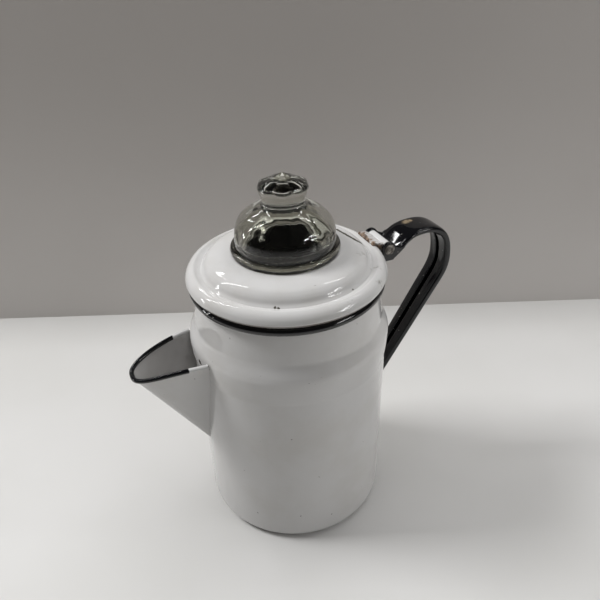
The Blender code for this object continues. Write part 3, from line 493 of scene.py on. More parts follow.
rolled_edge = rolled_edge_tree()


def rolled_along(name, points, radius, closed):
    """A piece with a rolled edge along these points."""
    edges = [(i, i + 1) for i in range(len(points) - 1)]
    if closed:
        edges.append((len(points) - 1, 0))
    mesh = bpy.data.meshes.new(name)
    mesh.from_pydata(points, edges, [])
    piece = bpy.data.objects.new(name, mesh)
    bpy.context.scene.collection.objects.link(piece)
    run_tree(piece, rolled_edge, {"Radius": radius, "Sides": ROLL_SIDES})
    return piece


circle = [Vector((x, y, rim_height)) for x, y in arc(0, 0, RIM_RADIUS, 0, 360, POT_STEPS)[:-1]]
bead = rolled_along("rim_bead", circle, RIM_BEAD, True)
bead_chips_and_glints = [(seen_at(pixel, bead), radius) for pixel, radius in BEAD_CHIPS_AND_GLINTS]
black_bead = enamel(
    "black_enamel_bead", BLACK, BLACK_WORN, roughness=0.05, spot_places=bead_chips_and_glints, bare=CHIP_AND_GLINT_WHITE,
    peel=0.16, stain_share=0.5,
)
put_on(bead, "pot", "black_enamel", black_bead, "pot_body")

# Spout
# A sheet folded round a sharp keel and welded to the pot over the strainer holes, enamelled white with it.
# Its edge is rolled over a wire, black from the tip to near the pot and white at both ends.
SPOUT_REACH = 0.0392
SPOUT_TIP_HEIGHT = 0.1277
SPOUT_NOSE_EXPONENT = 0.36
SPOUT_CROWN_SHARE = 0.95
SPOUT_BEAD = 0.0014
SPOUT_BEAD_OUTSET = 0.0004
SPOUT_STEPS, SPOUT_ROLL_STEPS = 40, 60
SPOUT_HOLLOW_STRETCH = 1.15
WHITE_END, WHITE_END_FADE, WHITE_END_UNEVEN = 0.0092, 0.0005, 0.0012


def spout_rim(share, inset=0.0):
    """A point of the spout's rim on its +Y side, from the tip at 0 to the pot at 1."""
    tip = CREASE_RADIUS + SPOUT_REACH - inset
    mouth = CREASE_RADIUS - SPOUT_WALL
    lift = share + SPOUT_CROWN_SHARE * share * (1 - share)
    width = (SPOUT_HALF_WIDTH - inset) * share**SPOUT_NOSE_EXPONENT
    height = SPOUT_TIP_HEIGHT + (SPOUT_MOUTH_HEIGHT - SPOUT_TIP_HEIGHT) * lift
    return Vector((-tip + (tip - mouth) * share, width, height))


def spout_cone(inset, stretch):
    """The solid cone from the keel's foot to the rim."""
    meet = Vector((-CREASE_RADIUS - inset, 0, SPOUT_KEEL_HEIGHT + 2 * inset))
    apex = meet + (meet - spout_rim(0, inset)).normalized() * 2 * POT_WALL
    side = [spout_rim((i / SPOUT_STEPS) ** 2, inset) for i in range(SPOUT_STEPS + 1)]
    back = Vector((-CREASE_RADIUS + SPOUT_REACH / 2, side[-1].y, side[-1].z))
    side = [apex + (point - apex) * stretch for point in (*side, back)]
    bm = bmesh.new()
    left = [bm.verts.new(point) for point in side]
    right = [left[0]] + [bm.verts.new((point.x, -point.y, point.z)) for point in side[1:]]
    foot = bm.verts.new(apex)
    heel = bm.verts.new((back.x, 0, apex.z))
    for rail in (left, right):
        for a, b in zip(rail, rail[1:-1]):
            bm.faces.new((foot, a, b))
        bm.faces.new((foot, rail[-2], rail[-1], heel))
    for i in range(len(left) - 1):
        bm.faces.new(dict.fromkeys((left[i], left[i + 1], right[i + 1], right[i])))
    bm.faces.new((left[-1], right[-1], heel))
    return bm


def pot_core(shrink):
    """The room inside the pot's outer side, less a skin, for pieces that run into its wall."""
    outline = [(max(r - shrink, 0), z) for r, z in pot_outline()]
    return turned("pot_core", [*outline, (0, outline[-1][1])], POT_STEPS, sharp_deg=60)


spout = finish_mesh("spout_sheet", spout_cone(inset=0.0, stretch=1.0), sharp_deg=25)
cut(spout, finish_mesh("spout_hollow", spout_cone(SPOUT_WALL, SPOUT_HOLLOW_STRETCH)))
cut(spout, pot_core(POT_WALL / 2))


def looks_into_spout(face):
    return face.normal.z > 0.05 or face.normal.x > 0.6


# Painted shade: the spout's inner faces that look up or towards the pot go about a third of the way to dark
# brown.
mark_inside(spout, looks_into_spout)
white_spout = enamel(
    "white_enamel_spout", WHITE, WHITE_STAIN, roughness=0.06, peel=0.08, inside_dark_share=0.35,
)
put_on(spout, "pot", "white_enamel", white_spout, "spout")

roll_inset = SPOUT_WALL / 2 - SPOUT_BEAD_OUTSET
half = [spout_rim((i / SPOUT_ROLL_STEPS) ** 2, roll_inset) for i in range(SPOUT_ROLL_STEPS + 1)]
path = [Vector((p.x, -p.y, p.z)) for p in reversed(half[1:])] + half
rim_roll = rolled_along("spout_rim_roll", path, SPOUT_BEAD, False)
cut(rim_roll, pot_core(POT_WALL / 2))


def two_tone_roll():
    """Black enamel with worn spots, which stops short of the pot, where the roll is white."""
    material, tree, shader, place = new_material("black_enamel_spout_rim")
    uneven = math_node(tree, "MULTIPLY", noise(tree, place, 300.0), WHITE_END_UNEVEN)
    along = math_node(tree, "ADD", split(tree, place)["X"], uneven)
    white_from = -CREASE_RADIUS - WHITE_END
    white = ramp(tree, along, white_from, white_from + WHITE_END_FADE)
    worn = ramp(tree, noise(tree, place, 260.0, detail=4.0, roughness=0.7), 0.64, 0.70)
    black = mix_colours(tree, worn, BLACK, BLACK_WORN)
    gloss = ramp(tree, noise(tree, place, 120.0, detail=3.0), 0.3, 0.8, 0.05, 0.16)
    surface = mix_colours(tree, white, black, WHITE)
    coat(tree, shader, surface, gloss, noise(tree, place, 240.0), strength=0.2, depth=0.0004)
    return material


put_on(rim_roll, "pot", "black_enamel", two_tone_roll(), "spout")

# Handle
# One strap of sheet, rolled into a flat tube that is open along its inner side, enamelled black.
# Its top is spread into two cheeks that hold the hinge's rivet, and its foot is welded to the pot.
hinge_x, hinge_z = frame["joints"][0]["pos_m"][0], frame["joints"][0]["pos_m"][2]
lid_low, lid_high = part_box("lid")
lid_radius = lid_high.x
lid_base = lid_low.z
HANDLE_TOP_WIDTH, HANDLE_FLARE, HANDLE_FOOT_WIDTH = 0.0210, 0.0030, 0.0145
HANDLE_DEPTH, HANDLE_TOP_DEPTH, HANDLE_SHEET, HANDLE_SLOT = 0.0056, 0.0038, 0.0012, 0.0030
HANDLE_START_AHEAD, HANDLE_START_DROP = 0.0055, 0.0029
HANDLE_HUMP_AHEAD, HANDLE_HUMP_RISE = 0.0280, 0.0070
HANDLE_REACH, HANDLE_BEND_HEIGHT = 0.0537, 0.1560
HANDLE_LIMB_DROP, HANDLE_LIMB_INSET, HANDLE_FOOT_HEIGHT = 0.0215, 0.0086, 0.0610
HANDLE_FLARE_SHARE, HANDLE_THICKENED_SHARE = 0.16, 0.42
CORNER_EXPONENT, CORNER_POINTS = 0.48, 32
EAR_RADIUS, EAR_THICKNESS, EAR_OUTER, EAR_FOOT_DEPTH = 0.0048, 0.0024, 0.0120, 0.0021
EAR_INNER = EAR_OUTER - EAR_THICKNESS
PIN_RADIUS, BARREL_RADIUS = 0.0018, 0.0036
SEAT_GAP, RUNNING_GAP = 0.0003, 0.0004


def bezier(a, b, c, d, steps):
    points = []
    for i in range(steps + 1):
        t = i / steps
        weights = ((1 - t) ** 3, 3 * t * (1 - t) ** 2, 3 * t**2 * (1 - t), t**3)
        points.append(sum((Vector(p) * w for p, w in zip((a, b, c, d), weights)), Vector((0, 0))))
    return points


def handle_path():
    """The handle's outer side in the XZ plane, from the hinge over the hump and down to the pot.

    Each curve's two pulls are shares of the distance between its ends.
    """
    start = Vector((hinge_x + HANDLE_START_AHEAD, hinge_z - HANDLE_START_DROP))
    hump = Vector((hinge_x + HANDLE_HUMP_AHEAD, hinge_z + HANDLE_HUMP_RISE))
    bend = Vector((CREASE_RADIUS + HANDLE_REACH, HANDLE_BEND_HEIGHT))
    limb = Vector((bend.x - HANDLE_LIMB_INSET, bend.y - HANDLE_LIMB_DROP))
    foot = Vector((FOOT_RADIUS, HANDLE_FOOT_HEIGHT))
    slope = (limb - foot).normalized()
    climb = Vector(((hump.x - start.x) * 0.35, (hump.y - start.y) * 0.70))
    route = bezier(start, start + climb, hump - Vector(((hump.x - start.x) * 0.5, 0)), hump, 20)
    over = Vector(((bend.x - hump.x) * 0.68, 0))
    route += bezier(hump, hump + over, bend + Vector((0, (hump.y - bend.y) * 0.64)), bend, 36)[1:]
    lower = limb + slope * HANDLE_LIMB_DROP * 0.30
    route += bezier(bend, bend - Vector((0, HANDLE_LIMB_DROP * 0.45)), lower, limb, 16)[1:]
    return route + [limb.lerp(foot, i / 24) for i in range(1, 25)]


def channel_section(width, depth):
    """The rolled sheet's section as (across, out) points: round the outer side and back along the inner."""
    def side(w, d):
        dip = math.asin(min(HANDLE_SLOT / w, 1) ** (1 / CORNER_EXPONENT))
        points = []
        for i in range(CORNER_POINTS):
            a = -math.pi / 2 + dip + (math.tau - 2 * dip) * i / (CORNER_POINTS - 1)
            x = math.copysign(abs(math.cos(a)) ** CORNER_EXPONENT, math.cos(a)) * w / 2
            y = math.copysign(abs(math.sin(a)) ** CORNER_EXPONENT, math.sin(a)) * d / 2
            points.append((x, y - depth / 2))
        return points
    return side(width, depth) + side(width - 2 * HANDLE_SHEET, depth - 2 * HANDLE_SHEET)[::-1]


def loft(rings):
    bm = bmesh.new()
    loops = [[bm.verts.new(point) for point in ring] for ring in rings]
    for low, high in zip(loops, loops[1:]):
        for i in range(len(low)):
            j = (i + 1) % len(low)
            bm.faces.new((low[i], low[j], high[j], high[i]))
    bm.faces.new(reversed(loops[0]))
    bm.faces.new(loops[-1])
    return bm


def handle_strap():
    route = handle_path()
    lengths = [0.0]
    for a, b in zip(route, route[1:]):
        lengths.append(lengths[-1] + (b - a).length)
    rings = []
    for i, point in enumerate(route):
        along = (route[min(i + 1, len(route) - 1)] - route[max(i - 1, 0)]).normalized()
        out = Vector((-along.y, along.x))
        share = lengths[i] / lengths[-1]
        flare = max(1 - share / HANDLE_FLARE_SHARE, 0) ** 2
        width = HANDLE_TOP_WIDTH + (HANDLE_FOOT_WIDTH - HANDLE_TOP_WIDTH) * share + HANDLE_FLARE * flare
        thickened = min(share / HANDLE_THICKENED_SHARE, 1)
        depth = HANDLE_TOP_DEPTH + (HANDLE_DEPTH - HANDLE_TOP_DEPTH) * thickened
        ring = [point + out * up for across, up in channel_section(width, depth)]
        rings.append([(p.x, s[0], p.y) for p, s in zip(ring, channel_section(width, depth))])
    return finish_mesh("handle", loft(rings), sharp_deg=40)


def ear_outline():
    """One cheek in the XZ plane: round the rivet, down on to the rim bead and back to the strap."""
    foot_top = rim_top - SEAT_GAP
    foot_base = foot_top - EAR_FOOT_DEPTH
    front = math.sqrt((lid_radius + RUNNING_GAP) ** 2 - EAR_INNER**2)
    route = handle_path()
    throat, rear = route[3], route[6]
    outline = arc(hinge_x, hinge_z, EAR_RADIUS, 20, 165, 24)
    outline += [(front, hinge_z - EAR_RADIUS / 3), (front, foot_top)]
    outline += [(RIM_RADIUS, foot_top), (RIM_RADIUS, foot_base)]
    outline += [(hinge_x + BARREL_RADIUS, foot_base), (hinge_x + 1.5 * EAR_RADIUS, hinge_z - EAR_RADIUS)]
    outline += [(rear.x, rear.y - HANDLE_TOP_DEPTH), (rear.x, rear.y - HANDLE_SHEET)]
    return outline + [(throat.x, throat.y - HANDLE_SHEET / 2)]


def ears():
    bm = bmesh.new()
    for side in (-1, 1):
        join_bodies(bm, loft([[(x, side * y, z) for x, z in ear_outline()] for y in (EAR_INNER, EAR_OUTER)]))
    return finish_mesh("ears", bm)


HANDLE_VOXEL = 0.0005
handle = handle_strap()
cut(handle, ears(), "UNION")
cut(handle, pot_core(-SEAT_GAP))
turn = Matrix.Translation((hinge_x, 0, hinge_z)) @ Matrix.Rotation(math.radians(90), 4, "X")
cut(handle, finish_mesh("ear_drill", drill(PIN_RADIUS + SEAT_GAP, -EAR_OUTER * 2, EAR_OUTER * 2, 32, turn)))
remesh = handle.modifiers.new("enamel_skin", "REMESH")
remesh.mode = "VOXEL"
remesh.voxel_size = HANDLE_VOXEL
soften = handle.modifiers.new("soften", "SMOOTH")
soften.factor = 0.5
soften.iterations = 12
bake_modifiers(handle, sharp_deg=60)

HUMP_WEAR = (((406, 221.5), 0.0036), ((410, 220.5), 0.0024))
HANDLE_TAN = (0.20, 0.155, 0.10)
HANDLE_FOOT_GREY = (0.30, 0.30, 0.29)
HANDLE_GREY_BELOW, HANDLE_BLACK_ABOVE, HANDLE_GREY_UNEVEN = 0.066, 0.070, 0.012


def handle_enamel():
    """Black enamel with a tan spot worn on the hump and the white ground coat showing at the foot."""
    wear = [(seen_at(pixel, handle), radius) for pixel, radius in HUMP_WEAR]
    material, tree, shader, place = new_material("black_enamel_handle")
    worn = ramp(tree, noise(tree, place, 150.0, detail=4.0, roughness=0.7), 0.62, 0.72)
    surface = mix_colours(tree, worn, BLACK, BLACK_WORN)
    spots = ramp(tree, noise(tree, place, 600.0, detail=1.0), 0.78, 0.80, 0.0, 0.8)
    surface = mix_colours(tree, spots, surface, CHIP_AND_GLINT_WHITE)
    tan = spot_mask(tree, place, wear, 0.8)
    surface = mix_colours(tree, tan, surface, HANDLE_TAN)
    uneven = math_node(tree, "MULTIPLY", noise(tree, place, 120.0), HANDLE_GREY_UNEVEN)
    level = math_node(tree, "ADD", split(tree, place)["Z"], uneven)
    low = ramp(tree, level, HANDLE_GREY_BELOW, HANDLE_BLACK_ABOVE, 1.0, 0.0)
    surface = mix_colours(tree, low, surface, HANDLE_FOOT_GREY)
    gloss = ramp(tree, noise(tree, place, 70.0, detail=4.0, roughness=0.6), 0.3, 0.8, 0.03, 0.07)
    half_tan = math_node(tree, "MULTIPLY", tan, 0.5)
    gloss = math_node(tree, "MAXIMUM", gloss, half_tan)
    height = math_node(tree, "SUBTRACT", noise(tree, place, 140.0, detail=2.0), half_tan)
    coat(tree, shader, surface, gloss, height, strength=0.03, depth=0.0004)
    return material


put_on(handle, "pot", "black_enamel", handle_enamel(), "handle")

# Hinge pin
# A steel rivet through both ears and the lid's barrel, headed over at each end.
# Bare, dark and worn smooth, with patches of brown rust.
PIN_HEAD_RADIUS, PIN_HEAD_HEIGHT = 0.0034, 0.0011
STEEL, STEEL_DARK, RUST = (0.34, 0.32, 0.29), (0.10, 0.09, 0.08), (0.060, 0.034, 0.022)


def worn_steel(name, colour, dark, roughness, metallic):
    material, tree, shader, place = new_material(name)
    patches = ramp(tree, noise(tree, place, 420.0, detail=5.0, roughness=0.65), 0.40, 0.62)
    rusty = ramp(tree, noise(tree, place, 230.0, detail=5.0, roughness=0.7), 0.56, 0.68, 0.0, 0.8)
    surface = mix_colours(tree, patches, colour, dark)
    surface = mix_colours(tree, rusty, surface, RUST)
    gloss = ramp(tree, patches, 0.0, 1.0, roughness, roughness + 0.3)
    shader.inputs["Metallic"].default_value = metallic
    grain = noise(tree, place, 600.0, detail=4.0)
    coat(tree, shader, surface, gloss, grain, strength=0.3, depth=0.0003)
    return material


pin_reach = EAR_OUTER + SEAT_GAP
dome = [(PIN_HEAD_RADIUS * math.cos(a), PIN_HEAD_HEIGHT * math.sin(a)) for a in
        (math.pi / 2 * i / 10 for i in range(11))]
head = [(r, pin_reach + h) for r, h in dome]
profile = [(0, -head[-1][1]), *[(r, -h) for r, h in reversed(head[:-1])], (PIN_RADIUS, -pin_reach)]
profile += [(PIN_RADIUS, pin_reach), *head[:-1], (0, head[-1][1])]
pin = turned("hinge_rivet", profile, steps=48)
pin.data.transform(turn)
dark_steel = worn_steel("bare_steel_pin", STEEL, STEEL_DARK, roughness=0.35, metallic=0.6)
put_on(pin, "pot", "bare_steel", dark_steel, "hinge_pin")

# Lid
# Pressed from one sheet: a hem, a rounded flange, a groove, and a raised middle with the knob's hole.
# White enamel, chipped beside the knob, with a dark line of spots along the groove at the back, and painted
# shade on the seat under the knob.
KNOB_FLANGE_RADIUS = 0.0320
SEAT_MARGIN = 0.0006
LID_WALL, LID_EDGE_RISE, LID_CREST_RISE, LID_GROOVE_DEPTH = 0.0012, 0.0036, 0.0090, 0.0011
LID_HEM_WIDTH = 0.0042
COLLAR_WALL = 0.0010
PLATEAU_SHARES = ((0.32, 0.93), (0.61, 0.78), (0.75, 0.62), (0.85, 0.41), (0.925, 0.15))
FLANGE_SHARES = ((0.20, 0.93), (0.43, 1.0), (0.70, 0.88), (0.89, 0.67))
KNOB_NECK_RADIUS = 0.0236
KNOB_LUG_ANGLE, KNOB_LUG_COUNT = math.radians(26), 3
KNOB_LUG_REACH, KNOB_LUG_THICKNESS, KNOB_LUG_ROOT = 0.0028, 0.0026, 0.0015
NOTCH_TURN, NOTCH_CUT = math.radians(60), 0.004
lid_seat = lid_high.z
collar_low, collar_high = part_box("lid_collar")
groove_radius = collar_high.x - COLLAR_WALL / 2
groove_height = lid_base + LID_CREST_RISE - LID_GROOVE_DEPTH


def between(start, end, shares):
    return [(start[0] + (end[0] - start[0]) * u, start[1] + (end[1] - start[1]) * v) for u, v in shares]


def lid_outline():
    """The lid's upper side from the knob's hole out over the groove and the flange to the hem."""
    seat = (KNOB_FLANGE_RADIUS, lid_seat)
    groove = (groove_radius, groove_height)
    plateau = between((seat[0], groove[1]), (groove[0], seat[1]), PLATEAU_SHARES)
    flange = between((groove[0], lid_base), (lid_radius, lid_base + LID_CREST_RISE), FLANGE_SHARES)
    edge = (lid_radius, lid_base + LID_EDGE_RISE)
    upper = smooth_through([seat, *plateau, groove], 6)[:-1]
    outside = smooth_through([groove, *flange, edge], 6)
    hem = arc(lid_radius - LID_EDGE_RISE, lid_base + LID_EDGE_RISE, LID_EDGE_RISE, 0, -90, 12)[1:]
    tuck = (lid_radius - LID_EDGE_RISE - LID_HEM_WIDTH / 2, lid_base)
    hole = (KNOB_NECK_RADIUS + RUNNING_GAP, lid_seat)
    return [hole, (KNOB_FLANGE_RADIUS - SEAT_MARGIN, lid_seat), *upper, *outside, *hem, tuck]


def offset(points, distance):
    """Moves an outline sideways: to the right of its direction of travel where distance is positive."""
    moved = []
    for i, (r, z) in enumerate(points):
        before = Vector(points[i]) - Vector(points[max(i - 1, 0)])
        after = Vector(points[min(i + 1, len(points) - 1)]) - Vector(points[i])
        along = (before.normalized() + after.normalized()).normalized()
        moved.append((max(r + along.y * distance, 0), z - along.x * distance))
    return moved


def wedge_outline(centre_turn, radius, widen):
    inner_radius = KNOB_NECK_RADIUS - KNOB_LUG_ROOT
    half = KNOB_LUG_ANGLE / 2 + widen / radius
    angles = [centre_turn + half * (i / 6 - 1) for i in range(13)]
    outside = [(radius * math.cos(a), radius * math.sin(a)) for a in angles]
    return outside + [(inner_radius * math.cos(a), inner_radius * math.sin(a)) for a in reversed(angles)]


def lug_wedges(low, high, radius, widen, first_turn):
    bm = bmesh.new()
    for i in range(KNOB_LUG_COUNT):
        outline = wedge_outline(first_turn + math.tau * i / KNOB_LUG_COUNT, radius, widen)
        join_bodies(bm, loft([[(x, y, z) for x, y in outline] for z in (low, high)]))
    return bm


LID_CHIPS = (((275, 308), 0.0008), ((278.5, 308), 0.0008), ((353, 290), 0.0007), ((197, 267), 0.0004))
LID_SMUDGES = (((375, 268), 0.0055), ((380, 284), 0.0045), ((362, 254), 0.0050), ((352, 303), 0.0030))
GROOVE_LINE_ENDS = ((337, 229.5), (361, 243))
GROOVE_LINE_SPOTS, GROOVE_LINE_RADIUS = 14, 0.0013
LID_SPOT_DARK = (0.050, 0.045, 0.032)
outline = lid_outline()
lid = turned("lid_shell", outline + offset(outline, LID_WALL)[::-1], POT_STEPS, sharp_deg=50)
lid_chips = [(seen_at(pixel, lid), radius) for pixel, radius in LID_CHIPS]
lid_smudges = [(seen_at(pixel, lid), radius) for pixel, radius in LID_SMUDGES]
groove_line = []
for i in range(GROOVE_LINE_SPOTS):
    spot = Vector(GROOVE_LINE_ENDS[0]).lerp(Vector(GROOVE_LINE_ENDS[1]), i / (GROOVE_LINE_SPOTS - 1))
    groove_line.append((seen_at(spot, lid), GROOVE_LINE_RADIUS))
notch_radius = KNOB_NECK_RADIUS + KNOB_LUG_REACH + RUNNING_GAP
notches = lug_wedges(lid_seat - NOTCH_CUT, lid_seat + NOTCH_CUT, notch_radius, RUNNING_GAP, NOTCH_TURN)
cut(lid, finish_mesh("notches", notches))


def coffee_and_painted_shade(face):
    """The lid's underside, stained by coffee, and the seat under the knob's flange, darkened as painted
    shade seen through the glass.
    """
    return face.normal.z < -0.2 or face.center.xy.length < KNOB_FLANGE_RADIUS - SEAT_MARGIN


# Painted shade: the seat under the knob's flange goes dark brown with the coffee-stained underside.
mark_inside(lid, coffee_and_painted_shade)
white_lid = enamel(
    "white_enamel_lid", WHITE, WHITE_STAIN, roughness=0.05, spot_places=lid_chips + groove_line, bare=LID_SPOT_DARK,
    stain_share=0.5, smudges=lid_smudges,
)
put_on(lid, "lid_unit", "white_enamel", white_lid, "lid")

# Lid collar
# A ring of sheet under the lid that drops into the pot's mouth, its lower edge turned in.
# Enamelled white, with coffee stains because it hangs in the steam.
collar_radius = collar_high.x
curl = 2 * COLLAR_WALL
profile = [(collar_radius - COLLAR_WALL, collar_high.z), (collar_radius, collar_high.z)]
profile += arc(collar_radius - curl, collar_low.z + curl, curl, 0, -90, 10)
profile += arc(collar_radius - curl, collar_low.z + curl, curl - COLLAR_WALL, -90, 0, 10)
collar = turned("collar_ring", profile, POT_STEPS)
white_collar = enamel("white_enamel_collar", WHITE, DARK_BROWN, roughness=0.14, stain_share=0.5)
put_on(collar, "lid_unit", "white_enamel", white_collar, "lid_collar")

# Hinge leaf
# A tongue of the lid, rolled up into the barrel that turns on the rivet between the ears.
# White enamel, rusted brown where the barrel's lower side and the tongue rub and hold water.
LEAF_THICKNESS, LEAF_REACH = 0.0012, 0.0062
TAN = (0.24, 0.17, 0.12)
RUST_BELOW, ENAMEL_ABOVE, RUST_UNEVEN, RUST_SLOPE = 0.0002, 0.0016, 0.011, 0.55
half_leaf = EAR_INNER - RUNNING_GAP
crest = lid_base + LID_CREST_RISE + SEAT_GAP + LEAF_THICKNESS
tail = lid_radius - LEAF_REACH
outline = arc(hinge_x, hinge_z, BARREL_RADIUS, -130, 130, 40)
outline += [(lid_radius - LEAF_THICKNESS, crest - LEAF_THICKNESS / 2), (tail + LEAF_THICKNESS, crest)]
outline += [(tail, crest - LEAF_THICKNESS / 2), (tail, lid_base + LID_CREST_RISE - LID_WALL)]
outline += [(lid_radius - LID_WALL, lid_base + LID_EDGE_RISE)]
leaf = finish_mesh("hinge_tongue", loft([[(x, y, z) for x, z in outline] for y in (-half_leaf, half_leaf)]))
shape = offset(lid_outline(), -SEAT_GAP / 3)
cut(leaf, turned("lid_room", [(0, shape[0][1]), *shape, (0, shape[-1][1])], POT_STEPS))
cut(leaf, finish_mesh("barrel_drill", drill(PIN_RADIUS + SEAT_GAP, -EAR_OUTER * 2, EAR_OUTER * 2, 32, turn)))


def rusted_leaf():
    """White enamel that gives way to rust below the barrel's shoulder and along the tongue."""
    material, tree, shader, place = new_material("white_enamel_leaf")
    ways = split(tree, place)
    cloud = noise(tree, place, 330.0, detail=6.0, roughness=0.7)
    uneven = math_node(tree, "MULTIPLY", math_node(tree, "SUBTRACT", cloud, 0.5), RUST_UNEVEN)
    height = math_node(tree, "ADD", ways["Z"], uneven)
    reach = math_node(tree, "MULTIPLY", math_node(tree, "SUBTRACT", ways["X"], hinge_x), RUST_SLOPE)
    level = math_node(tree, "ADD", height, reach)
    rust = ramp(tree, level, hinge_z + RUST_BELOW, hinge_z + ENAMEL_ABOVE, 1.0, 0.0)
    broken = ramp(tree, noise(tree, place, 260.0, detail=4.0), 0.36, 0.50, 0.25, 1.0)
    rust = math_node(tree, "MULTIPLY", rust, broken)
    deep = ramp(tree, noise(tree, place, 520.0, detail=4.0), 0.44, 0.58)
    rust_colour = mix_colours(tree, deep, RUST, TAN)
    surface = mix_colours(tree, rust, WHITE, rust_colour)
    gloss = ramp(tree, rust, 0.0, 1.0, 0.2, 0.8)
    coat(tree, shader, surface, gloss, cloud, strength=0.4, depth=0.0004)
    return material


put_on(leaf, "lid_unit", "white_enamel", rusted_leaf(), "hinge_leaf")

# Glass knob
# Pressed clear glass with a faint green-grey tint: a flange that rests on the lid, a hollow fluted bulb in
# which the coffee can be watched, a solid finial with petal facets, and a neck with three lugs.
knob_low, knob_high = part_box("glass_knob")
knob_base = lid_seat + SEAT_GAP
knob_height = knob_high.z - knob_base
FLANGE_THICKNESS, BULB_RADIUS, KNOB_WALL = 0.0036, 0.0294, 0.0030
HOLLOW_SHARE = 0.56
FLUTES, FLUTE_DEPTH = 9, 0.0005
OPTIC_PANELS, OPTIC_DEPTH = 12, 0.0003
PETALS, PETAL_SHARES = 8, (0.80, 0.88)
BULB_SHARES = (
    (1.0, 0.18), (0.985, 0.285), (0.915, 0.395), (0.80, 0.475), (0.645, 0.535), (0.50, 0.578),
    (0.425, 0.618), (0.415, 0.66), (0.45, 0.735), (0.49, 0.815), (0.475, 0.86), (0.36, 0.90),
    (0.20, 0.935), (0.09, 0.975),
)
HOLLOW_SHARES = ((1.0, 0.25), (0.98, 0.42), (0.88, 0.60), (0.70, 0.78), (0.45, 0.92), (0.20, 0.99))
KNOB_STEPS = 216
FACET_EDGE_DEG = 16


def knob_profile():
    flange_top = knob_base + FLANGE_THICKNESS
    round_off = FLANGE_THICKNESS / 2
    points = [(KNOB_NECK_RADIUS, knob_base)]
    points += arc(KNOB_FLANGE_RADIUS - round_off, knob_base + round_off, round_off, -90, 90, 16)
    bulb = [(BULB_RADIUS * r, knob_base + knob_height * z) for r, z in BULB_SHARES]
    points += smooth_through([(BULB_RADIUS, flange_top), *bulb, (0, knob_high.z)], 5)
    room = BULB_RADIUS - KNOB_WALL
    roof = HOLLOW_SHARE * knob_height
    bore = KNOB_NECK_RADIUS - KNOB_WALL
    hollow = [(room * r, knob_base + roof * z) for r, z in HOLLOW_SHARES]
    inside = smooth_through([(0, knob_base + roof), *reversed(hollow), (bore, knob_base)], 5)
    return [*points, *inside, (bore, knob_low.z), (KNOB_NECK_RADIUS, knob_low.z)]


def press_tree():
    """The mould's pattern: flutes outside the bulb, optic panels inside it and facets on the finial."""
    sizes = ("Base", "Flange top", "Flute height", "Flutes", "Flute depth", "Panels", "Panel depth",
             "Petals", "Petals base", "Petals full")
    tree, given = new_tree("press_pattern", sizes)
    place = add_node(tree, "InputPosition", {}, GEOMETRY)
    ways = split(tree, place)
    flat_place = add_node(tree, "VectorMath", {0: place, 1: (1.0, 1.0, 0.0)}, operation="MULTIPLY")
    radius = add_node(tree, "VectorMath", {0: flat_place}, operation="LENGTH").node.outputs["Value"]
    around = math_node(tree, "ARCTAN2", ways["Y"], ways["X"])
    rise = math_node(tree, "SUBTRACT", ways["Z"], given["Flange top"])
    rise = add_node(tree, "Clamp", {0: math_node(tree, "DIVIDE", rise, given["Flute height"])})
    swell = math_node(tree, "SINE", math_node(tree, "MULTIPLY", rise, math.pi))

    def wave(count, depth):
        turns = math_node(tree, "COSINE", math_node(tree, "MULTIPLY", around, count))
        return math_node(tree, "MULTIPLY", math_node(tree, "MULTIPLY_ADD", turns, 0.5), depth)

    def shrink(cut_depth):
        return math_node(tree, "SUBTRACT", 1.0, math_node(tree, "DIVIDE", cut_depth, radius))

    fluted = shrink(math_node(tree, "MULTIPLY", wave(given["Flutes"], given["Flute depth"]), swell))
    in_bulb = math_node(tree, "GREATER_THAN", ways["Z"], given["Base"])
    panelled = shrink(math_node(tree, "MULTIPLY", wave(given["Panels"], given["Panel depth"]), in_bulb))
    side = math_node(tree, "DIVIDE", math.tau, given["Petals"])
    half_side = math_node(tree, "MULTIPLY", side, 0.5)
    from_middle = math_node(tree, "SUBTRACT", math_node(tree, "FLOORED_MODULO", around, side), half_side)
    corner = math_node(tree, "COSINE", half_side)
    flat = math_node(tree, "DIVIDE", corner, math_node(tree, "COSINE", from_middle))
    share = ramp(tree, ways["Z"], given["Petals base"], given["Petals full"])
    lost = math_node(tree, "MULTIPLY", share, math_node(tree, "SUBTRACT", 1.0, flat))
    faceted = math_node(tree, "SUBTRACT", 1.0, lost)
    outside = add_node(tree, "InputNamedAttribute", {"Name": "outside"}, GEOMETRY, data_type="FLOAT")
    scale = add_node(tree, "Mix", {0: outside, 2: panelled, 3: math_node(tree, "MULTIPLY", fluted, faceted)})
    pressed = add_node(tree, "CombineXYZ", {
        0: math_node(tree, "MULTIPLY", ways["X"], scale),
        1: math_node(tree, "MULTIPLY", ways["Y"], scale),
        2: ways["Z"],
    })
    moved = {0: given["Geometry"], "Position": pressed}
    end_tree(tree, given, add_node(tree, "SetPosition", moved, GEOMETRY))
    return tree


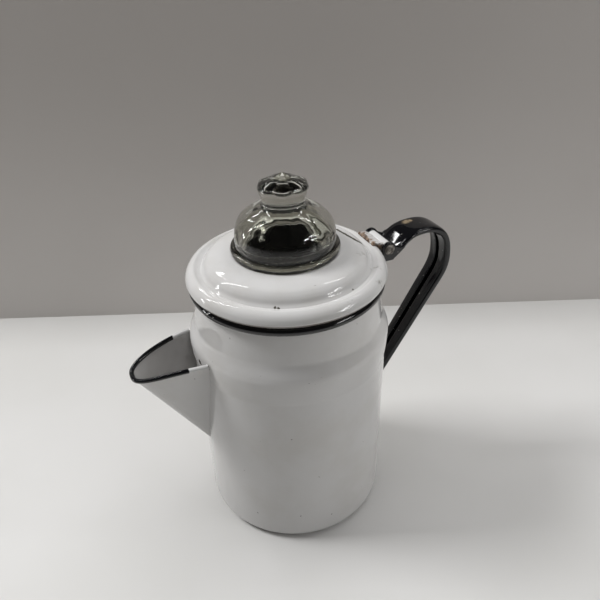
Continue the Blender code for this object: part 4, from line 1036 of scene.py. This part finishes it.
def make_knob():
    """Turns the knob's profile and notes which points are on its outer side."""
    profile = knob_profile()
    bm = bmesh.new()
    outside = bm.verts.layers.float.new("outside")
    rings = []
    for r, z in profile:
        if r <= 1e-6:
            rings.append([bm.verts.new((0, 0, z))])
            continue
        turns = [math.tau * k / KNOB_STEPS for k in range(KNOB_STEPS)]
        rings.append([bm.verts.new((r * math.cos(a), r * math.sin(a), z)) for a in turns])
    for low, high in zip(rings, rings[1:] + rings[:1]):
        for i in range(KNOB_STEPS):
            j = (i + 1) % KNOB_STEPS
            corners = (low[i % len(low)], low[j % len(low)], high[j % len(high)], high[i % len(high)])
            corners = tuple(dict.fromkeys(corners))
            if len(corners) > 2:
                bm.faces.new(corners)
    tip = next(i for i, ring in enumerate(rings) if len(ring) == 1)
    for ring in rings[:tip + 1]:
        for vert in ring:
            vert[outside] = 1.0
    return finish_mesh("knob_glass", bm)


knob = make_knob()
run_tree(knob, press_tree(), {
    "Base": knob_base, "Flange top": knob_base + FLANGE_THICKNESS, "Flute height": knob_height / 2,
    "Flutes": FLUTES, "Flute depth": FLUTE_DEPTH, "Panels": OPTIC_PANELS, "Panel depth": OPTIC_DEPTH,
    "Petals": PETALS, "Petals base": knob_base + PETAL_SHARES[0] * knob_height,
    "Petals full": knob_base + PETAL_SHARES[1] * knob_height,
})
lug_top = lid_seat - LID_WALL - SEAT_GAP
lug_radius = KNOB_NECK_RADIUS + KNOB_LUG_REACH
lugs = lug_wedges(lug_top - KNOB_LUG_THICKNESS, lug_top, lug_radius, widen=0.0, first_turn=0.0)
cut(knob, finish_mesh("lugs", lugs), "UNION")
knob.data.set_sharp_from_angle(angle=math.radians(FACET_EDGE_DEG))
GLASS_DARK, GLASS_LIGHT, GLASS_IOR = (0.76, 0.765, 0.70), (0.83, 0.835, 0.78), 1.5


def pressed_glass():
    """Clear glass with the mould's faint ripples and finger marks."""
    material, tree, shader, place = new_material("pressed_glass_knob")
    tint = ramp(tree, noise(tree, place, 30.0), 0.3, 0.7)
    colour = mix_colours(tree, tint, GLASS_DARK, GLASS_LIGHT)
    shader.inputs["Transmission Weight"].default_value = 1.0
    shader.inputs["IOR"].default_value = GLASS_IOR
    marks = ramp(tree, noise(tree, place, 60.0, detail=5.0, roughness=0.6), 0.45, 0.75, 0.015, 0.09)
    ripples = noise(tree, place, 110.0, detail=2.0)
    coat(tree, shader, colour, marks, ripples, strength=0.12, depth=0.0008)
    return material


put_on(knob, "knob_unit", "pressed_glass", pressed_glass(), "glass_knob")

# Pump stem
# A drawn aluminium tube that the hot coffee rises in, with a swaged ring that carries the basket.
# Dull and stained brown from use.
stem_low, stem_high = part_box("pump_stem")
STEM_RADIUS, STEM_WALL, STEM_RING_PROUD = 0.0045, 0.0008, 0.0022
STEM_RING_HEIGHT = rim_top - 0.0682
ALUMINIUM, ALUMINIUM_DULL = (0.52, 0.52, 0.50), (0.26, 0.24, 0.21)
SCRATCH_STRETCH = (1.0, 1.0, 14.0)


def stained_aluminium(name, stain_share):
    """Soft drawn aluminium: fine scratches round the turning, dull grey bloom and coffee stains."""
    material, tree, shader, place = new_material(name)
    bloom = ramp(tree, noise(tree, place, 60.0, detail=5.0, roughness=0.6), 0.35, 0.7)
    stains = ramp(tree, noise(tree, place, 35.0, detail=6.0, roughness=0.7), 0.5, 0.7, 0.0, stain_share)
    surface = mix_colours(tree, bloom, ALUMINIUM, ALUMINIUM_DULL)
    surface = mix_colours(tree, stains, surface, DARK_BROWN)
    gloss = ramp(tree, bloom, 0.0, 1.0, 0.28, 0.5)
    shader.inputs["Metallic"].default_value = 0.9
    stretched = add_node(tree, "Mapping", {"Vector": place, "Scale": SCRATCH_STRETCH})
    scratches = noise(tree, stretched, 160.0, detail=4.0)
    coat(tree, shader, surface, gloss, scratches, strength=0.12, depth=0.0003)
    return material


aluminium = stained_aluminium("aluminium_pump", stain_share=0.45)
bore = STEM_RADIUS - STEM_WALL
ring = arc(STEM_RADIUS, STEM_RING_HEIGHT, STEM_RING_PROUD, -90, 90, 14)
profile = [(bore, stem_low.z), (STEM_RADIUS, stem_low.z), *ring]
profile += [(STEM_RADIUS, stem_high.z), (bore, stem_high.z)]
stem = turned("stem_tube", profile, steps=64)
put_on(stem, "pump_unit", "aluminium", aluminium, "pump_stem")

# Pump foot
# A flared foot, spun from aluminium, that stands on the pot's floor and traps the steam under it.
# Four notches in its lip let the water in, and the stem is pressed into its socket.
pump_low, pump_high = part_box("pump_foot")
PUMP_WALL, PUMP_SOCKET_DEPTH, PUMP_LIP, NOTCH_RADIUS = 0.0010, 0.0080, 0.0024, 0.0026
NOTCH_COUNT = 4
PUMP_FLARE_SHARES = ((0.17, 0.55), (0.24, 0.42), (0.42, 0.29), (0.70, 0.20), (0.93, 0.14))
pump_radius = pump_high.x
pump_height = pump_high.z - pump_low.z
socket = STEM_RADIUS + SEAT_GAP
flare = [(pump_radius * r, pump_low.z + pump_height * z) for r, z in PUMP_FLARE_SHARES]
lip = (pump_radius, pump_low.z + PUMP_LIP / 2)
flare = smooth_through([(socket + PUMP_WALL, pump_high.z), *flare, lip], 6)
outer = [*flare, (pump_radius, pump_low.z)]
stem_base = pump_high.z - PUMP_SOCKET_DEPTH - SEAT_GAP
inner = [(r, z) for r, z in offset(outer, PUMP_WALL) if z < stem_base - PUMP_WALL]
inner[-1] = (pump_radius - PUMP_WALL, pump_low.z)
wall = [(bore, inner[0][1]), (bore, stem_base), (socket, stem_base), (socket, pump_high.z)]
foot = turned("pump_bell", [*outer, *inner[::-1], *wall], steps=128)
bm = bmesh.new()
for i in range(NOTCH_COUNT):
    around = Matrix.Rotation(math.tau * (i + 0.5) / NOTCH_COUNT, 4, "Z")
    place = around @ Matrix.Translation((0, 0, pump_low.z)) @ Matrix.Rotation(math.radians(90), 4, "Y")
    join_bodies(bm, drill(NOTCH_RADIUS, pump_radius - NOTCH_RADIUS, pump_radius * 1.1, 24, place))
cut(foot, finish_mesh("notch_drills", bm))
put_on(foot, "pump_unit", "aluminium", aluminium, "pump_foot")

# Basket
# A drawn aluminium cup for the ground coffee, with a rolled rim and rings of holes in its bottom.
# Dull grey, with more of it stained brown than on the pump.
basket_low, basket_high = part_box("basket")
BASKET_BEAD, BASKET_TAPER, BASKET_FILLET, BASKET_WALL = 0.0013, 0.0025, 0.0050, 0.0010
SLEEVE_WALL, SLEEVE_FLANGE = 0.0009, 0.0028
PERFORATION_RADIUS, PERFORATION_PITCH = 0.0010, 0.0065
PERFORATION_SIDES, MOST_RINGS = 12, 6
basket_radius = basket_high.x - BASKET_BEAD
basket_rim = basket_high.z - BASKET_BEAD
sleeve_bore = STEM_RADIUS + RUNNING_GAP
sleeve_radius = sleeve_bore + SLEEVE_WALL
stained = stained_aluminium("aluminium_basket", stain_share=0.7)


def perforate_tree():
    """Rings of holes round the axis, six more in each ring than in the one inside it."""
    sizes = ("Pitch", "Hole radius", "Height", "Depth", "First ring", "Last ring")
    tree, given = new_tree("perforate", sizes)
    joined = tree.nodes.new("GeometryNodeJoinGeometry")
    for number in range(1, MOST_RINGS + 1):
        ring_radius = math_node(tree, "MULTIPLY", given["Pitch"], float(number))
        spots = add_node(tree, "MeshCircle", {"Vertices": 6 * number, "Radius": ring_radius}, GEOMETRY)
        first = math_node(tree, "SUBTRACT", given["First ring"], 0.5)
        early = math_node(tree, "LESS_THAN", float(number), first)
        last = math_node(tree, "ADD", given["Last ring"], 0.5)
        late = math_node(tree, "GREATER_THAN", float(number), last)
        unwanted = math_node(tree, "ADD", early, late)
        kept = add_node(tree, "DeleteGeometry", {0: spots, "Selection": unwanted}, GEOMETRY)
        tree.links.new(kept, joined.inputs[0])
    lift = add_node(tree, "CombineXYZ", {2: given["Height"]})
    points = add_node(tree, "SetPosition", {0: joined.outputs[0], "Offset": lift}, GEOMETRY)
    drilled = drill_at_points(
        tree, given["Geometry"], points, given["Depth"], given["Hole radius"], PERFORATION_SIDES,
    )
    end_tree(tree, given, drilled)
    return tree


perforate = perforate_tree()


def perforated(piece, material, first_ring, last_ring, height, depth):
    run_tree(piece, perforate, {
        "Pitch": PERFORATION_PITCH, "Hole radius": PERFORATION_RADIUS, "Height": height, "Depth": depth,
        "First ring": first_ring, "Last ring": last_ring,
    }, material)


bottom = basket_radius - BASKET_TAPER
hole = sleeve_radius + SEAT_GAP
profile = [(hole, basket_low.z)]
profile += arc(bottom - BASKET_FILLET, basket_low.z + BASKET_FILLET, BASKET_FILLET, -90, 0, 10)
profile += arc(basket_radius, basket_rim, BASKET_BEAD, -45, 180, 16)
profile.append((basket_radius - BASKET_BEAD, basket_rim - BASKET_BEAD))
profile += arc(bottom - BASKET_FILLET, basket_low.z + BASKET_FILLET, BASKET_FILLET - BASKET_WALL, 0, -90, 8)
profile.append((hole, basket_low.z + BASKET_WALL))
basket = turned("basket_cup", profile, steps=128)
perforated(
    basket, stained, first_ring=2, last_ring=5,
    height=basket_low.z + BASKET_WALL / 2, depth=BASKET_WALL * 3,
)
put_on(basket, "basket_unit", "aluminium", stained, "basket")

# Basket sleeve
# The tube in the basket's middle that slides on the stem, flanged over both faces of the bottom.
# The same stained aluminium as the pump's.
sleeve_low, sleeve_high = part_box("basket_sleeve")
flange = sleeve_radius + SLEEVE_FLANGE
floor_top = basket_low.z + BASKET_WALL + SEAT_GAP
profile = [
    (sleeve_bore, sleeve_low.z), (flange, sleeve_low.z), (flange, sleeve_low.z + SLEEVE_WALL),
    (sleeve_radius, sleeve_low.z + SLEEVE_WALL), (sleeve_radius, floor_top), (flange, floor_top),
    (flange, floor_top + SLEEVE_WALL), (sleeve_radius, floor_top + SLEEVE_WALL),
    (sleeve_radius, sleeve_high.z), (sleeve_bore, sleeve_high.z),
]
sleeve = turned("sleeve_tube", profile, steps=64)
put_on(sleeve, "basket_unit", "aluminium", aluminium, "basket_sleeve")

# Spreader
# The pressed cover of the basket, which spreads the water over the coffee through its holes.
# Aluminium, with a lip that fits over the basket's rim and a collar round the stem.
spreader_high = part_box("spreader")[1]
SPREADER_RISE, SPREADER_LIP, SPREADER_WALL, SPREADER_COLLAR = 0.0030, 0.0040, 0.0010, 0.0050
crown = spreader_high.z - SPREADER_COLLAR
deck = crown - SPREADER_RISE
inner_collar = STEM_RADIUS + RUNNING_GAP
outer_collar = inner_collar + SPREADER_WALL
rim = spreader_high.x - SPREADER_WALL
middle = ((outer_collar + rim) / 2, crown - SPREADER_RISE / 4)
upper = smooth_through([(outer_collar, crown), middle, (rim - SPREADER_LIP, deck)], 10)
outer = [(outer_collar, spreader_high.z), *upper, (rim, deck)]
outer += [(rim + SPREADER_WALL, deck - SPREADER_WALL), (rim + SPREADER_WALL, deck - SPREADER_LIP)]
lower = [(r, z - SPREADER_WALL) for r, z in reversed(upper)]
inner = [(rim, deck - SPREADER_LIP), (rim, deck - SPREADER_WALL), *lower]
inner.append((inner_collar, crown - SPREADER_WALL))
spreader = turned("spreader_cover", [(inner_collar, spreader_high.z), *outer, *inner], steps=128)
perforated(
    spreader, stained, first_ring=2, last_ring=MOST_RINGS,
    height=(crown + deck) / 2, depth=SPREADER_RISE * 3,
)
put_on(spreader, "spreader_unit", "aluminium", stained, "spreader")

# Floor, wall and light
# A pale table and a grey wall behind it. Broad soft lamps stand high on the left, overhead and on the
# right, and thin bright strips draw the highlights: three over the wall, one low on the left, three on the
# right in front and one high there.
WALL_DISTANCE = 0.5236
ahead_flat = Vector((LOOK_AHEAD.x, LOOK_AHEAD.y, 0)).normalized()
wall_foot = Vector((CAMERA_PLACE.x, CAMERA_PLACE.y, 0)) + ahead_flat * WALL_DISTANCE
TABLE, TABLE_SHADE = (0.62, 0.615, 0.605), (0.59, 0.585, 0.57)
# Painted light: the wall is lighter near the table and darker higher up.
WALL_LIT_LOW, WALL_SHADED_HIGH = (0.60, 0.575, 0.555), (0.42, 0.395, 0.375)
WALL_FADE_HEIGHT, WALL_FADE_UNEVEN = 0.33, 0.08
TABLE_ROUGHNESS, WALL_ROUGHNESS = 0.45, 0.7


def stage_sheet(name, corners, material):
    mesh = bpy.data.meshes.new(name)
    mesh.from_pydata(corners, [], [tuple(range(len(corners)))])
    mesh.materials.append(material)
    sheet = bpy.data.objects.new(name, mesh)
    bpy.context.scene.collection.objects.link(sheet)


def table_paint():
    material, tree, shader, place = new_material("table_white")
    shade = ramp(tree, noise(tree, place, 6.0, detail=4.0), 0.3, 0.7)
    tree.links.new(mix_colours(tree, shade, TABLE_SHADE, TABLE), shader.inputs["Base Color"])
    shader.inputs["Roughness"].default_value = TABLE_ROUGHNESS
    return material


def wall_paint():
    """Grey paint with painted light: lighter near the table, where its bounce light falls, darker higher up;
    clear from behind so that views from there see the pot.
    """
    material, tree, shader, place = new_material("wall_grey")
    uneven = math_node(tree, "MULTIPLY", noise(tree, place, 5.0, detail=4.0), WALL_FADE_UNEVEN)
    height = math_node(tree, "ADD", split(tree, place)["Z"], uneven)
    fade = ramp(tree, height, 0.0, WALL_FADE_HEIGHT)
    tree.links.new(mix_colours(tree, fade, WALL_LIT_LOW, WALL_SHADED_HIGH), shader.inputs["Base Color"])
    shader.inputs["Roughness"].default_value = WALL_ROUGHNESS
    back = tree.nodes.new("ShaderNodeNewGeometry").outputs["Backfacing"]
    clear = tree.nodes.new("ShaderNodeBsdfTransparent").outputs[0]
    mixed = add_node(tree, "MixShader", {0: back, 1: shader.outputs[0], 2: clear})
    tree.links.new(mixed, tree.nodes["Material Output"].inputs["Surface"])
    return material


FLOOR_REACH, WALL_HEIGHT = 1.5, 0.33
across_flat = Vector((ahead_flat.y, -ahead_flat.x, 0))
near = wall_foot - ahead_flat * 2 * FLOOR_REACH
stage_sheet("floor", [
    near - across_flat * FLOOR_REACH, near + across_flat * FLOOR_REACH,
    wall_foot + across_flat * FLOOR_REACH, wall_foot - across_flat * FLOOR_REACH,
], table_paint())
up_wall = Vector((0, 0, WALL_HEIGHT))
stage_sheet("wall", [
    wall_foot - across_flat * FLOOR_REACH, wall_foot + across_flat * FLOOR_REACH,
    wall_foot + across_flat * FLOOR_REACH + up_wall, wall_foot - across_flat * FLOOR_REACH + up_wall,
], wall_paint())

LAMP_CENTRE = Vector((0.02, 0.0, 0.17))
ROOM_LIGHT, ROOM_MIRRORED = 0.12, 0.03
ROOM_WARM_WHITE = (1.0, 0.97, 0.94, 1.0)


def lamp(name, place, width, length, power, along):
    """A rectangular lamp that faces the pot, its length along a direction."""
    data = bpy.data.lights.new(name, "AREA")
    data.shape = "RECTANGLE"
    data.size = width
    data.size_y = length
    data.energy = power
    light = bpy.data.objects.new(name, data)
    bpy.context.scene.collection.objects.link(light)
    back = (place - LAMP_CENTRE).normalized()
    across = along.cross(back).normalized()
    axes = Matrix((across, back.cross(across), back)).transposed()
    light.matrix_world = Matrix.Translation(place) @ axes.to_4x4()
    return light


def broad_lamp(name, direction, distance, size, power):
    """A soft lamp that lights the enamel without showing in it."""
    place = LAMP_CENTRE + Vector(direction).normalized() * distance
    light = lamp(name, place, size, size, power, Vector((0.3, 1.0, 0.1)))
    light.visible_glossy = False
    light.visible_transmission = False


def strip_lamp(name, start, end, distance, width, power):
    """A thin lamp whose ends are seen from the pot in two directions."""
    ends = [LAMP_CENTRE + Vector(direction).normalized() * distance for direction in (start, end)]
    lamp(name, (ends[0] + ends[1]) / 2, width, (ends[1] - ends[0]).length, power, ends[1] - ends[0])


broad_lamp("key", (-0.58, 0.34, 0.74), distance=1.7, size=0.50, power=21.5)
broad_lamp("top", (0.22, 0.18, 1.0), distance=1.3, size=1.0, power=7.4)
broad_lamp("side", (0.92, -0.25, 0.35), distance=1.1, size=0.6, power=2.9)
strip_lamp("back_left", (-0.75, 0.46, 0.46), (-0.26, 0.40, 0.88), distance=0.9, width=0.016, power=0.9)
strip_lamp("left_low", (-0.88, 0.42, 0.03), (-0.82, 0.50, 0.20), distance=0.9, width=0.02, power=0.40)
strip_lamp("back_rising", (-0.38, 0.74, 0.56), (-0.16, 0.74, 0.65), distance=0.9, width=0.016, power=0.30)
strip_lamp("back_level", (-0.38, 0.74, 0.56), (-0.36, 0.62, 0.70), distance=0.9, width=0.016, power=0.30)
strip_lamp("right_level", (0.45, -0.82, 0.34), (0.73, -0.58, 0.37), distance=1.0, width=0.018, power=0.80)
strip_lamp("right_rising", (0.47, -0.82, 0.33), (0.66, -0.55, 0.50), distance=1.0, width=0.014, power=0.60)
strip_lamp("right_low", (0.42, -0.88, 0.22), (0.68, -0.70, 0.22), distance=1.0, width=0.014, power=0.45)
strip_lamp("high_right", (0.40, 0.22, 0.88), (0.68, 0.0, 0.74), distance=0.9, width=0.016, power=0.35)

world = bpy.data.worlds.new("room")
world.use_nodes = True
rays = world.node_tree.nodes.new("ShaderNodeLightPath").outputs
mirrored = math_node(world.node_tree, "MAXIMUM", rays["Is Glossy Ray"], rays["Is Transmission Ray"])
strength = ramp(world.node_tree, mirrored, 0.0, 1.0, ROOM_LIGHT, ROOM_MIRRORED)
room = world.node_tree.nodes["Background"]
room.inputs["Color"].default_value = ROOM_WARM_WHITE
world.node_tree.links.new(strength, room.inputs["Strength"])
bpy.context.scene.world = world
bpy.context.scene.view_settings.view_transform = "Standard"
